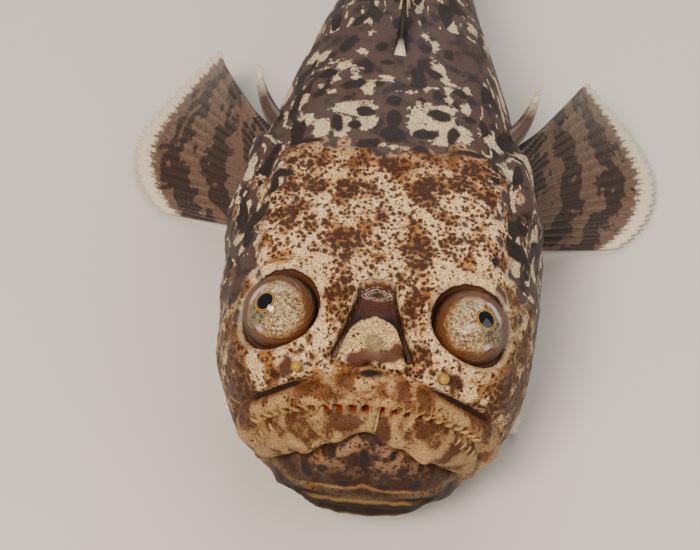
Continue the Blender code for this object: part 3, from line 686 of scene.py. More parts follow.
def skin_point(s: Array, angle: Array, lift: float = 0.0) -> tuple[Array, Array]:
    """A point of the finished skin and the way it faces: the plain point plus its normal, the cross
    product of the steps along s and along the angle, times the relief and the lift.

    Args:
        s: Places back from the chin.
        angle: Angles round the body.
        lift: Extra distance off the skin.

    Returns:
        The points and the normals, in the straight fish's frame.
    """
    s, angle = np.broadcast_arrays(np.asarray(s, float), np.asarray(angle, float))
    plain = BODY.point(s, angle)
    normal = np.cross(BODY.point(s + 2e-4, angle) - plain, BODY.point(s, angle + 2e-3) - plain)
    normal /= np.linalg.norm(normal, axis=-1, keepdims=True)
    return plain + normal * (raised(plain, angle) + lift)[..., None], normal


def face_point(x: Array, z: Array, lift: Array) -> Array:
    """The point of the finished face at x across and z up, lifted off it along the face's own normal.

    Args:
        x: Places across.
        z: Places up.
        lift: Distance off the face.

    Returns:
        The points, in the straight fish's frame.
    """
    step = 1e-4
    s = BODY.face_place(x, z)
    normal = np.stack([(BODY.face_place(x + step, z) - s) / step, -np.ones_like(s),
                       (BODY.face_place(x, z + step) - s) / step], -1)
    normal /= np.linalg.norm(normal, axis=-1, keepdims=True)
    height = FACE.relief(x, s, z) + lift
    return np.stack([x, s, z], -1) + normal * height[..., None]


# Finishes


def linear(colour: str) -> tuple[float, float, float]:
    """Turns an sRGB hex colour such as "#C8A070" into linear red, green and blue."""
    levels = (int(colour[k:k + 2], 16) / 255 for k in (1, 3, 5))
    return tuple(c / 12.92 if c <= 0.04045 else ((c + 0.055) / 1.055) ** 2.4 for c in levels)


def toward(colours: Array, tint: str, weight: Array) -> Array:
    """Moves colours towards a tint: the colour plus its distance from the tint times the weight.

    Args:
        colours: Linear colours, with red, green and blue last.
        tint: The tint.
        weight: How far to go at each place, from 0 to 1.

    Returns:
        The new colours.
    """
    return colours + (np.array(linear(tint)) - colours) * weight[..., None]


class MaterialNodes:
    """The nodes of a new material, which starts with an empty Principled shader."""

    def __init__(self, name: str) -> None:
        """Makes the material.

        Args:
            name: Its name.
        """
        self.material = bpy.data.materials.new(name)
        self.material.use_nodes = True
        self.tree = self.material.node_tree
        self.shader = self.tree.nodes["Principled BSDF"]

    def add(self, kind: str, *inputs: object, take: int | str = 0, **settings: object) -> Socket:
        """Adds a node with its settings and links.

        Args:
            kind: The node's type without its ShaderNode prefix and, after a space, its operation if any.
            *inputs: What its inputs get in order: a value, a hex colour, a socket, or None for nothing.
            take: The output that is wanted, by name or number.
            **settings: Inputs by name, which starts with a capital, and the node's own properties.

        Returns:
            That output's socket.
        """
        sort, _, operation = kind.partition(" ")
        made = self.tree.nodes.new("ShaderNode" + sort)
        if operation:
            made.operation = operation
        wanted = dict(enumerate(inputs))
        for name, value in settings.items():
            if name[0].isupper():
                wanted[name] = value
            else:
                setattr(made, name, value)
        for key, value in wanted.items():
            if isinstance(value, Socket):
                self.tree.links.new(value, made.inputs[key])
            elif isinstance(value, str):
                made.inputs[key].default_value = (*linear(value), 1.0)
            elif value is not None:
                made.inputs[key].default_value = value
        return made.outputs[take]

    def above(self, value: Socket, limit: float | Socket, sharpness: float, share: float = 1.0) -> Socket:
        """A mask that is 1 where a value is above a limit: their difference times the sharpness plus a
        half, kept between 0 and 1. It is 1 below the limit where the sharpness is negative.

        Args:
            value: What is compared.
            limit: What it is compared with.
            sharpness: Slope of the edge.
            share: Height of the mask.

        Returns:
            The mask's socket.
        """
        past = self.add("Math SUBTRACT", value, limit)
        mask = self.add("Math MULTIPLY_ADD", past, sharpness, 0.5, use_clamp=True)
        return mask if share == 1.0 else self.add("Math MULTIPLY", mask, share)

    def layered(self, base: Socket | str, *layers: tuple) -> Socket:
        """Lays colours over a base, one after the other, each through its mask.

        Args:
            base: The lowest colour.
            *layers: For each its mask, its colour and, where it doesn't simply cover, its way to blend.

        Returns:
            The socket of the colour that they make.
        """
        for mask, over, *blend in layers:
            # A colour mix takes its two colours at inputs 6 and 7
            base = self.add("Mix", mask, *[None] * 5, base, over, take=2, data_type="RGBA",
                            blend_type=blend[0] if blend else "MIX")
        return base


@dataclass(frozen=True)
class Finish:
    """What all the fish's finishes share: the gloss of wet tissue and fine bumps."""

    roughness: float = 0.42
    ior: float = 1.40
    coat: float = 0.15
    coat_roughness: float = 0.03
    bump: float = 0.4
    bump_depth: float = 0.12 * MM

    def paint(self, nodes: MaterialNodes, place: Socket) -> dict[str, Socket]:
        """Adds the finish's own nodes.

        Args:
            nodes: The material's nodes.
            place: The socket of the place on the object.

        Returns:
            The sockets for the shader's inputs, by their names, and for the Height of the bumps.
        """
        raise NotImplementedError

    def material(self, name: str) -> Material:
        """Builds the material.

        Args:
            name: Its name.

        Returns:
            The material.
        """
        nodes = MaterialNodes(name)
        painted = self.paint(nodes, nodes.add("TexCoord", take="Object"))
        height = painted.pop("Height")
        painted["Normal"] = nodes.add("Bump", Strength=self.bump, Distance=self.bump_depth, Height=height)
        for socket, source in painted.items():
            nodes.tree.links.new(source, nodes.shader.inputs[socket])
        numbers = {"Roughness": self.roughness, "IOR": self.ior, "Coat Weight": self.coat,
                   "Coat Roughness": self.coat_roughness}
        for socket, value in numbers.items():
            nodes.shader.inputs[socket].default_value = value
        return nodes.material


@dataclass(frozen=True)
class MarbledSkin(Finish):
    """Scaleless wet fish skin over bone, speckled and marbled, with the grain of its tiny papillae, drawn
    as coarse as it needs to show. Its fields give the ground colour, the stain over it, how much of each
    speckle there is, and the depth inside placed spots and patches."""

    core: str = "#331605"
    halo: str = "#6E4A30"
    spot: str = "#231A18"
    fringe: str = "#50301E"
    patch: str = "#DAD1B6"
    gap: str = "#B79A78"
    # Painted highlight on the crests of the skin's grains
    crest: str = "#F2DCA8"
    # Painted shade in the skin's grooves, folds and lip crease, and the painted shadow at the edge of the
    # snout's hollow
    shade_line: str = "#22120D"
    # Brown painted shade in the crease over the upper lip
    shade: str = "#6A3C20"
    streak: str = "#CDBBAE"
    red: str = "#82240E"
    fold: str = "#4A3020"
    fold_light: str = "#5C3A22"
    socket_rim: str = "#EBD8B2"
    socket_line: str = "#2A1810"
    blotch_size: float = 4.6 * MM
    speck_size: float = 1.12 * MM
    grain_size: float = 0.37 * MM
    roughness: float = 0.55
    ior: float = 1.30
    coat: float = 0.03
    coat_roughness: float = 0.35
    bump: float = 0.6
    bump_depth: float = 0.28 * MM

    def paint(self, nodes: MaterialNodes, place: Socket) -> dict[str, Socket]:
        """Adds the finish's own nodes.

        Args:
            nodes: The material's nodes.
            place: The socket of the place on the object.

        Returns:
            The sockets for the shader's Base Color and for the Height of the bumps.
        """
        add, above = nodes.add, nodes.above
        sizes = ((self.blotch_size, 4.0), (2.6 * MM, 3.0), (0.9 * MM, 3.0))
        blotches, wobble, fine = (add("TexNoise", Vector=place, Scale=1 / size, Detail=detail, Roughness=0.55)
                                  for size, detail in sizes)
        bend = add("TexNoise", Vector=place, Scale=1 / (2.4 * MM), Detail=2.0, take="Color")
        bend = add("VectorMath MULTIPLY_ADD", bend, (1.6 * MM,) * 3, place)
        dots = add("TexVoronoi", Vector=bend, Scale=1 / self.speck_size)
        draw = add("SeparateColor", dots.node.outputs["Color"])
        cells = add("TexVoronoi", Vector=place, Scale=1 / self.grain_size, Randomness=0.9)
        words = ("cover", "pale", "grainy", "speck", "dark", "socket", "hollow", "ring", "crease", "slit",
                 "row", "shade_line")
        field = {word: add("Attribute", attribute_name=word, take="Fac") for word in words}
        ground, stain = (add("Attribute", attribute_name=word, take="Color") for word in ("ground", "stain"))

        # The ground, stained in soft clouds, and then the pale patches with their broken edges
        cloud = add("Math MULTIPLY_ADD", field["cover"], -0.40, 0.80)
        torn = add("Math MULTIPLY_ADD", fine, 0.20, blotches)
        edge = add("Math MULTIPLY_ADD", wobble, 3.4, -1.7)
        edge = add("Math MULTIPLY_ADD", fine, 2.2, edge)
        patch = above(add("Math ADD", field["pale"], edge), 1.10, 4.0)
        colour = nodes.layered(ground, (above(torn, cloud, 8.0), stain), (patch, self.patch))

        # Grains of the skin with darker gaps between them, and a painted highlight on the crest of each grain
        grainy = add("Math MAXIMUM", add("Math MULTIPLY", patch, 0.85), field["grainy"])
        gaps = add("Math MULTIPLY", above(cells, 0.44, 3.5), grainy)
        crest = add("Math MULTIPLY", above(cells, 0.26, -5.0, 0.75), grainy)
        colour = nodes.layered(colour, (gaps, self.gap, "MULTIPLY"), (crest, self.crest, "SOFT_LIGHT"))

        # Small dots with a dark core in an orange-brown halo, which run together where there are many
        size = add("Math MULTIPLY_ADD", field["speck"], 0.95, -0.26)
        for source, share in ((draw, 0.22), (fine, -0.75), (blotches, 1.10)):
            size = add("Math MULTIPLY_ADD", source, share, size)
        halo = above(size, dots, 11.0, 0.85)
        core = above(add("Math MULTIPLY_ADD", size, 0.80, -0.05), dots, 6.0, 0.92)
        colour = nodes.layered(colour, (halo, self.halo, "DARKEN"), (core, self.core))

        # Round dark spots in a soft fringe
        dark = add("Math ADD", field["dark"], add("Math MULTIPLY_ADD", wobble, -1.8, 0.9))
        colour = nodes.layered(colour, (above(dark, -0.25, 2.5, 0.45), self.fringe),
                               (above(dark, 0.10, 3.0), self.spot))

        # The soft dark fold round each eye, inside the pale rim of its socket
        socket = add("Math MULTIPLY_ADD", wobble, 0.25, field["socket"])
        rim = add("Math MULTIPLY", above(socket, 0.40, 4.0, 0.26), above(socket, 0.85, -3.0))
        colour = nodes.layered(colour, (rim, self.socket_rim), (above(socket, 0.32, -6.0), self.socket_line),
                               (above(socket, 0.08, -5.0), nodes.layered(self.fold, (fine, self.fold_light))))

        # The hollow of the snout: pale streaks across its floor, and a crisp dark painted shadow along its
        # edge
        hollow = add("Math MULTIPLY_ADD", wobble, 0.5, field["hollow"])
        waves = add("Math MULTIPLY_ADD", fine, 16.0, add("Math MULTIPLY", field["ring"], 13.0))
        near = add("Math MULTIPLY_ADD", fine, 1.6, -0.30)
        ring = above(add("Math ABSOLUTE", field["ring"]), near, -2.5, 0.55)
        ring = add("Math MULTIPLY", ring, above(add("Math SINE", waves), 0.2, 1.2))
        ring = add("Math MULTIPLY", ring, above(hollow, 0.9, 3.0))
        # Painted shadow along the edge of the hollow
        hollow_edge_shadow = add("Math MULTIPLY", above(hollow, 0.20, 6.0), above(hollow, 0.60, -2.2, 0.92))
        colour = nodes.layered(colour, (ring, self.streak), (hollow_edge_shadow, self.shade_line))

        # The crease over the upper lip, darkened by a brown painted shade and a darker painted line in its
        # groove, the red inside of the mouth in its gaps, and the lines of painted shade in the other grooves
        crease = add("Math MULTIPLY_ADD", fine, 0.4, field["crease"])
        slit = above(add("Math ABSOLUTE", field["slit"]), 0.62, -6.0)
        gape = add("Math MULTIPLY", slit, above(field["row"], 0.10, 3.0))
        colour = nodes.layered(
            colour, (above(crease, 0.60, -2.0, 0.65), self.shade), (above(crease, 0.22, -4.0), self.shade_line),
            (gape, self.red), (field["shade_line"], self.shade_line))
        return {"Base Color": colour, "Height": add("Math MULTIPLY_ADD", cells, -0.8, fine)}


@dataclass(frozen=True)
class EyeFinish(Finish):
    """The eye under its clear wet window: a blue-black pupil in a thin gold ring, a grey-green iris and a
    lavender edge, in a ball that is covered with speckled skin and wrinkled brown at its foot."""

    pupil: str = "#0B1016"
    gold: str = "#B88E44"
    ring_gap: str = "#2A2116"
    iris: str = "#4A4232"
    iris_light: str = "#7C7056"
    lavender: str = "#B09CA4"
    skin: str = "#A8946C"
    grain: str = "#CFBF97"
    freckle: str = "#5E3E22"
    ochre: str = "#7A4E1E"
    foot: str = "#41240E"
    foot_light: str = "#683C16"
    deep: str = "#221310"
    grain_size: float = 0.40 * MM
    ior: float = 1.38
    coat: float = 0.20
    coat_roughness: float = 0.12
    bump: float = 0.35
    bump_depth: float = -0.18 * MM

    def paint(self, nodes: MaterialNodes, place: Socket) -> dict[str, Socket]:
        """Adds the finish's own nodes. They read the ball's fields in millimetres: gaze is the distance
        from the pupil's middle, window that from the clear skin's and foot the height over the socket.

        Args:
            nodes: The material's nodes.
            place: The socket of the place on the object.

        Returns:
            The sockets for the shader's Base Color and Roughness, and for the Height of the bumps.
        """
        add, above = nodes.add, nodes.above
        fine, coarse = (add("TexNoise", Vector=place, Scale=1 / size, Detail=3.0)
                        for size in (0.7 * MM, 3.0 * MM))
        cells = add("TexVoronoi", Vector=place, Scale=1 / self.grain_size)
        draw = add("Math MULTIPLY_ADD", coarse, 1.2, add("SeparateColor", cells.node.outputs["Color"]))
        height, gaze, edge, window = (add("Attribute", attribute_name=word, take="Fac")
                                      for word in ("foot", "gaze", "rim", "window"))
        wrinkle = add("Math MULTIPLY_ADD", coarse, 9.0, add("Math MULTIPLY", height, 11.0))
        wrinkle = above(add("Math SINE", wrinkle), 0.0, 0.8)
        foot = add("Math ADD", height, add("Math MULTIPLY_ADD", coarse, 3.6, -1.8))
        colour = nodes.layered(
            self.skin, (above(draw, 1.28, 3.0), self.freckle), (above(draw, 0.78, -2.4), self.grain),
            (above(cells, 0.50, 3.0, 0.5), self.freckle), (above(foot, 0.9, -0.9, 0.55), self.ochre),
            (above(foot, -0.1, -1.1), nodes.layered(self.foot, (wrinkle, self.foot_light))),
            (above(foot, -2.7, -0.5), self.deep), (above(edge, 0.5, 3.0), self.lavender),
            (above(window, 2.6, -1.6), nodes.layered(self.iris, (above(fine, 0.5, 6.0), self.iris_light))),
            (above(gaze, 2.06, -9.0), self.gold), (above(gaze, 1.94, -9.0), self.ring_gap),
            (above(gaze, 1.76, -9.0), self.gold), (above(gaze, 1.62, -9.0), self.pupil))
        dry = above(gaze, 2.9, 2.0)
        return {"Base Color": colour, "Roughness": add("Math MULTIPLY_ADD", dry, 0.36, 0.10),
                "Height": add("Math MULTIPLY", cells, dry)}


@dataclass(frozen=True, kw_only=True)
class FinMembrane(Finish):
    """Thin fin skin on horny rays: bands across the rays, a pale margin, darker skin between rays, and a
    pale foot of the first ray where lead, its share of the fin, is over 0."""

    ground: str
    band: str
    margin: str
    web: str = "#8A7464"
    bands: float = 3.0
    margin_width: float = 0.12
    share: float = 0.5
    lead: float = -1.0
    roughness: float = 0.44
    coat: float = 0.10
    bump: float = 0.5

    def paint(self, nodes: MaterialNodes, place: Socket) -> dict[str, Socket]:
        """Adds the finish's own nodes. They read the fin's fields: along runs from the root to the margin,
        across from the first ray to the last, and ray is 1 on a ray and 0 between two.

        Args:
            nodes: The material's nodes.
            place: The socket of the place on the object.

        Returns:
            The sockets for the shader's Base Color and for the Height of the bumps.
        """
        add, above = nodes.add, nodes.above
        along, across, ray = (add("Attribute", attribute_name=word, take="Fac")
                              for word in ("along", "across", "ray"))
        coarse, fine = (add("TexNoise", Vector=place, Scale=1 / size, Detail=detail)
                        for size, detail in ((5.0 * MM, 4.0), (1.2 * MM, 2.0)))
        wave = add("Math MULTIPLY_ADD", coarse, 0.42, along)
        wave = add("Math SINE", add("Math MULTIPLY", wave, self.bands * 2 * math.pi))
        between = add("Math MULTIPLY_ADD", ray, -0.35, 0.35)
        edge = add("Math MULTIPLY_ADD", fine, 0.10, along)
        back = add("Math MULTIPLY_ADD", along, 0.6, across)
        colour = nodes.layered(
            self.ground, (above(wave, 1 - 2 * self.share, 3.0), self.band),
            (above(fine, 0.60, 9.0, 0.5), self.band), (between, self.web, "MULTIPLY"),
            (above(edge, 1.05 - self.margin_width, 26.0), self.margin),
            (above(back, self.lead, -9.0), self.margin))
        rings = add("Math SINE", add("Math MULTIPLY", along, 190.0))
        return {"Base Color": colour, "Height": add("Math MULTIPLY_ADD", rings, ray, fine)}


@dataclass(frozen=True, kw_only=True)
class SoftTissue(Finish):
    """Soft moist tissue such as the threads of the lips and the tubes of the nostrils: one colour at the
    root that runs into another at the tip, finely mottled."""

    root: str
    tip: str
    mottle: str
    turn_at: float = 0.5

    def paint(self, nodes: MaterialNodes, place: Socket) -> dict[str, Socket]:
        """Adds the finish's own nodes, which read the field along, 0 at the root and 1 at the tip.

        Args:
            nodes: The material's nodes.
            place: The socket of the place on the object.

        Returns:
            The sockets for the shader's Base Color and for the Height of the bumps.
        """
        along = nodes.add("Attribute", attribute_name="along", take="Fac")
        noise = nodes.add("TexNoise", Vector=place, Scale=1 / (1.1 * MM), Detail=3.0)
        colour = nodes.layered(self.root, (nodes.above(along, self.turn_at, 3.0), self.tip),
                               (nodes.above(noise, 0.58, 9.0, 0.6), self.mottle))
        return {"Base Color": colour, "Height": noise}


# The pieces


def finished(piece: Piece, fields: dict[str, Array], material: Material, slot: str, *nodes: str) -> Piece:
    """Gives a piece its fields and its material, and hangs it under the root.

    Args:
        piece: The piece.
        fields: Its fields by name.
        material: Its material.
        slot: What it dresses; it is not used.
        *nodes: The solids that it replaces, if any.

    Returns:
        The piece.
    """
    for name, values in fields.items():
        set_field(piece, name, values)
    piece.data.materials.append(material)
    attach(piece, "root")
    if nodes:
        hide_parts(*nodes)
    return piece


def tube_piece(name: str, tubes: Sequence[Array], material: Material, slot: str) -> Piece:
    """Many closed tubes in one mesh, with the field along, which runs from 0 at a root to 1 at a tip.

    Args:
        name: The piece's name.
        tubes: Rings of points of each tube of the straight fish, from its root to its tip.
        material: Its material.
        slot: What it dresses.

    Returns:
        The finished piece.
    """
    points, quads, triangles, along = [], [], [], []
    first = 0
    for straight in tubes:
        rings = BODY.posed(straight)
        rows, columns = rings.shape[:2]
        last, root = first + (rows - 1) * columns, first + rows * columns
        points += [rings.reshape(-1, 3), rings[0].mean(0)[None], rings[-1].mean(0)[None]]
        quads.append(grid_quads(rows, columns, True, first)[:, ::-1])
        triangles += [fan(root, first, columns), fan(root + 1, last, columns, True)]
        along += [np.repeat(np.linspace(0, 1, rows), columns), np.array([0.0, 1.0])]
        first = root + 2
    piece = mesh_piece(name, np.concatenate(points), np.concatenate(quads), np.concatenate(triangles))
    return finished(piece, {"along": np.concatenate(along)}, material, slot)


@dataclass(frozen=True)
class Tone:
    """How a region of the skin is painted: its ground, the stain over it, and how much stain, how many
    specks and how clear a grain it has."""

    ground: str
    stain: str
    cover: float
    speck: float
    grain: float


FLANK_TONE = Tone("#4C3B36", "#2C2327", 0.34, 0.16, 0.18)
# The other regions' tones, in the order in which they are laid over the flank's
TONES = {
    "bony": Tone("#F4E0B8", "#B48444", 0.32, 0.53, 0.95),
    "cheek": Tone("#D8C29A", "#6A4C34", 0.62, 0.57, 0.80),
    "belly": Tone("#DCCBA6", "#C0A67C", 0.20, 0.04, 0.35),
    "throat": Tone("#2C201A", "#150E0E", 0.44, 0.18, 0.25),
    "chin": Tone("#94755A", "#38241C", 0.50, 0.44, 0.60),
    "lower_lip": Tone("#B0936A", "#5E3C1E", 0.42, 0.22, 0.70),
    "upper_lip": Tone("#C4A474", "#764A26", 0.46, 0.33, 0.70)}


class SkinMap:
    """Where each point of the plain skin lies, in millimetres, and how much of each region it has."""

    def __init__(self, points: Array, angle: Array) -> None:
        """Works out the places, the distances from the face's arches and the regions.

        Args:
            points: Points of the plain body as x, s and z.
            angle: Their angles round the body.
        """
        self.points, self.turn = points, side_turn(angle)
        x, s, z = self.x, self.s, self.z = np.moveaxis(points, -1, 0) / MM
        wide = self.wide = np.abs(x)
        arches = (FACE.crease, FACE.mouth, FACE.lip_foot)
        self.crease, self.mouth, self.foot = (FACE.distance(points[..., 0], points[..., 2], arch) / MM
                                              for arch in arches)
        self.torn = torn = rumple(points, 0.0075, 24) + 0.5 * rumple(points, 0.0032, 25)
        self.around = CROWN.orbit_ring(points[..., 0], points[..., 1])
        self.half, self.nose = (course(points[..., 1], knots) / MM for knots in (CROWN.fossa, CROWN.nose))
        mottled = rumple(points, 0.016, 21)

        self.front = front = soft_step(26.0, 20.0, s)
        self.crown = soft_step(46.0, 50.0, z) * soft_step(8.0, 11.0, s)
        high = soft_step(20.0, 27.0, z)
        edge = 71.2 - 4.5 * hump(x, 3.5) + 1.1 * np.cos(x / 3.1) + 1.5 * torn
        bony = soft_step(edge + 0.6, edge - 0.6, s)
        bony = bony * soft_step(28.6, 27.6, wide + 3.2 * torn + 0.08 * (s - 45))
        bony = np.maximum(bony, soft_step(35.0, 33.0, s + 3.8 * torn)) * soft_step(12.0, 18.0, z)
        belly = soft_step(13.0, 6.0, z + 1.0 * mottled - 8.0 * soft_step(110.0, 220.0, s))
        below = soft_step(0.3, -0.5, self.foot)
        self.regions = {
            "bony": bony,
            "cheek": bony * soft_step(25.0, 31.0, wide + 0.8 * mottled),
            "belly": belly * soft_step(16.0, 30.0, s),
            "throat": front * soft_step(26.0, 22.0, z) * soft_step(27.0, 20.0, wide),
            "chin": front * below * soft_step(22.5, 26.5, z) * soft_step(-1.0, 1.0, 24 - wide),
            "lower_lip": front * soft_step(0.3, -0.4, self.mouth) * soft_step(-0.5, 0.4, self.foot) * high,
            "upper_lip": front * soft_step(0.2, -0.5, self.crease) * soft_step(-0.3, 0.4, self.mouth) * high}

    def inside_hollow(self) -> Array:
        """Works out how far the points lie inside the outline of the snout's hollow, nose and all.

        Returns:
            The distance in millimetres, negative outside.
        """
        half, middle = self.half, (self.half + self.nose) / 2
        outer = half * (1 - np.hypot(self.wide / half, np.maximum(self.s - 30.4, 0.0) / 2.2))
        return np.minimum(outer, self.s - 12.4 - 1.2 * (self.wide - middle) ** 2 * (self.s < 16))

    def golden_lines(self) -> Array:
        """Share of the golden lines between the folds of the throat."""
        lines = [hump(self.throat_arch() - height, 0.32) for height in (27.2, 22.6, 15.2)]
        return np.max(lines, axis=0) * soft_step(15.0, 9.0, self.wide) * (self.s < 22)

    def throat_arch(self) -> Array:
        """Height on the throat, counted along the arches of its folds."""
        return self.z + 0.010 * self.x * self.x


@dataclass
class Skin:
    """The fish's skin in one closed surface from the chin to the root of the tail fin. Its ovals are
    given in millimetres by their middle and their half sizes, and by their turn in degrees, if any."""

    rows: int = 306
    columns: int = 318
    socket_half: float = 8.7
    finish: MarbledSkin = MarbledSkin()

    # Round dark spots of the back, placed by x and s
    back_spots: Blobs = (
        (-7.2, 83.0, 2.4, 2.0, -20), (11.0, 84.0, 3.3, 2.1, -8), (7.8, 76.9, 3.4, 1.7),
        (-9.2, 78.4, 1.9, 1.6), (-13.8, 79.5, 1.6, 3.6, 10), (14.8, 77.6, 1.4, 3.0, -8),
        (0.0, 81.0, 2.0, 3.4), (-0.3, 87.4, 2.3, 1.9), (-11.0, 93.0, 3.4, 2.0), (-11.8, 87.6, 2.6, 1.2),
        (-7.6, 87.3, 1.8, 1.0), (-4.6, 93.2, 1.6, 1.4), (-7.5, 97.8, 1.9, 1.5), (-18.0, 98.6, 2.6, 2.0),
        (-17.8, 94.6, 1.6, 1.4), (5.6, 94.6, 2.8, 2.1, 20), (4.4, 98.4, 1.9, 1.3), (9.6, 98.6, 2.1, 1.6),
        (10.6, 91.0, 1.8, 2.0), (6.4, 88.6, 1.8, 1.1), (16.2, 93.6, 2.4, 1.9), (-9.0, 102.2, 3.0, 1.6),
        (-2.8, 101.4, 2.0, 1.5), (6.2, 102.6, 2.3, 2.0), (0.2, 75.6, 3.2, 2.6),
        (-5.6, 72.4, 3.2, 1.8, 10), (7.2, 71.6, 2.4, 1.5), (-19.4, 90.0, 2.2, 1.6),
        (19.0, 84.8, 1.8, 1.4), (-20.6, 73.0, 4.6, 1.3, -5), (19.5, 71.8, 5.2, 1.3, 5),
        (-14.2, 108.6, 2.4, 2.2), (0.0, 119.0, 3.0, 3.4), (31.0, 47.6, 3.2, 2.6),
        (-30.5, 51.5, 4.6, 2.2, 20), (-24.5, 61.5, 3.0, 1.6), (-13.0, 112.5, 2.2, 1.8),
        (12.5, 108.0, 2.0, 2.4), (-5.0, 109.0, 2.0, 2.4), (6.5, 108.6, 2.2, 1.8))
    # Pale patches of the back
    back_patches: Blobs = (
        (-9.6, 84.6, 5.6, 2.4), (-12.4, 78.0, 2.2, 4.2), (-6.6, 80.4, 2.6, 3.4), (9.6, 86.0, 5.6, 1.6),
        (5.6, 81.6, 2.0, 4.8), (9.2, 80.6, 5.2, 2.0), (13.2, 80.2, 2.4, 4.2), (11.8, 75.2, 3.2, 1.4),
        (-7.0, 92.2, 1.9, 2.8), (-17.4, 92.2, 2.8, 1.2, -40), (-15.8, 97.2, 1.2, 2.6),
        (-10.6, 96.6, 1.0, 1.9), (-17.6, 102.2, 3.0, 1.0, 15), (-13.2, 101.4, 2.2, 1.0, -15),
        (-9.8, 99.8, 1.4, 0.9, -10), (-2.6, 95.4, 2.2, 1.5, -15), (5.2, 92.0, 5.2, 1.0, 27),
        (3.0, 96.0, 0.8, 0.8), (10.8, 100.0, 1.4, 5.4, 28), (16.4, 95.0, 3.0, 1.2, 5),
        (13.2, 91.2, 1.0, 2.4), (17.8, 88.6, 1.6, 2.0, -30), (-9.8, 106.4, 1.6, 1.3),
        (-8.1, 115.3, 0.9, 1.1), (6.2, 115.0, 0.9, 1.8), (8.8, 110.6, 0.9, 2.2),
        (0.6, 71.7, 5.4, 0.45, -6), (-17.4, 77.4, 2.2, 3.2), (17.2, 78.0, 2.2, 3.0),
        (-22.0, 80.4, 3.4, 2.0, 30), (24.0, 79.6, 3.6, 1.8, -30), (27.5, 70.6, 2.2, 2.6),
        (-20.5, 107.6, 2.6, 2.0))
    # Dark spots, inky areas and brown blotches of the face, placed by x and z
    face_spots: Blobs = (
        (0.2, 36.5, 1.2, 3.6), (-4.4, 28.4, 1.9, 1.4), (4.8, 28.0, 1.6, 1.2), (-7.2, 38.0, 1.3, 1.0, 30),
        (6.4, 38.4, 1.1, 1.2), (-2.6, 38.6, 0.8, 1.3, 15), (2.6, 38.2, 0.8, 1.4, -15),
        (-9.0, 33.0, 1.6, 1.4, 40), (8.6, 33.4, 1.2, 2.2, -20), (-12.6, 30.6, 1.6, 2.2, 30),
        (11.6, 28.4, 1.6, 2.0), (-3.4, 34.4, 0.9, 1.0), (3.4, 34.0, 0.8, 1.0), (13.0, 33.0, 1.1, 1.4),
        (0.4, 56.7, 2.3, 0.62), (0.6, 32.5, 1.0, 1.4))
    ink: Blobs = (
        (-12.0, 32.5, 3.4, 3.4), (12.4, 29.5, 4.0, 3.6), (-7.4, 37.4, 2.6, 1.8), (8.4, 34.6, 2.0, 2.4),
        (0.2, 36.0, 1.8, 4.0), (-2.6, 31.5, 4.0, 1.6))
    face_blotches: Blobs = (
        (-3.9, 46.6, 1.9, 2.6, 12), (3.7, 46.8, 1.5, 2.4, -12), (-8.4, 48.0, 2.0, 1.4, 25),
        (7.4, 47.6, 1.4, 1.4, 30), (-14.0, 43.6, 2.6, 2.6, 30), (-6.6, 54.2, 2.0, 1.9),
        (7.0, 54.0, 2.2, 1.9), (13.6, 44.4, 2.8, 2.2, -30), (12.0, 52.8, 2.4, 1.0, -30),
        (-13.5, 52.6, 2.0, 0.9, 30), (19.5, 39.6, 1.6, 2.4, -20), (-3.0, 44.4, 2.0, 1.6, 30),
        (3.4, 44.2, 1.4, 1.8, -30), (-28.6, 46.4, 2.8, 5.6), (-29.2, 38.0, 2.4, 4.0),
        (28.8, 46.6, 2.6, 4.6), (27.8, 40.6, 2.2, 3.0), (-22.2, 52.8, 1.8, 2.6))
    # Denser brown areas of the head's top
    crown_blotches: Blobs = (
        (-8.0, 57.5, 5.0, 3.0), (9.5, 58.6, 4.4, 4.0), (-19.0, 58.2, 5.6, 2.2), (24.0, 58.4, 3.0, 2.4),
        (-8.8, 41.0, 4.6, 4.4), (8.2, 40.6, 3.6, 4.6), (-23.0, 48.4, 3.8, 3.0), (0.0, 66.2, 5.0, 1.8),
        (16.4, 61.6, 3.0, 2.6), (-20.0, 65.2, 6.4, 1.8), (17.4, 45.0, 3.6, 1.8), (-16.0, 46.6, 2.6, 2.0),
        (-8.4, 28.2, 2.7, 8.0, 4), (9.0, 27.4, 2.7, 8.2, -4), (21.0, 66.0, 5.0, 1.6),
        (12.6, 15.4, 2.4, 1.8, 30), (-15.8, 14.2, 1.5, 1.2), (-13.6, 16.6, 1.5, 1.2))
    # Golden areas of the head's top
    crown_gold: Blobs = (
        (-8.0, 42.0, 6.0, 6.0), (8.0, 41.0, 5.0, 4.6), (-8.0, 58.0, 6.4, 4.6), (10.0, 59.5, 6.0, 4.6),
        (-3.6, 49.0, 3.6, 4.0), (0.0, 66.4, 7.0, 3.0), (-22.0, 59.0, 5.0, 3.6), (23.0, 60.0, 4.0, 3.6),
        (-8.6, 27.5, 3.2, 8.4, 4), (9.2, 27.0, 3.2, 8.6, -4))
    # Smooth brown stains of the snout
    snout_stains: Blobs = (
        (0.5, 16.4, 2.2, 1.3), (-2.2, 13.2, 3.7, 1.4, 4), (2.6, 13.3, 3.0, 1.1), (5.4, 13.4, 2.0, 1.6),
        (-18.5, 12.3, 2.1, 1.8), (17.8, 11.4, 2.4, 1.5, 20))

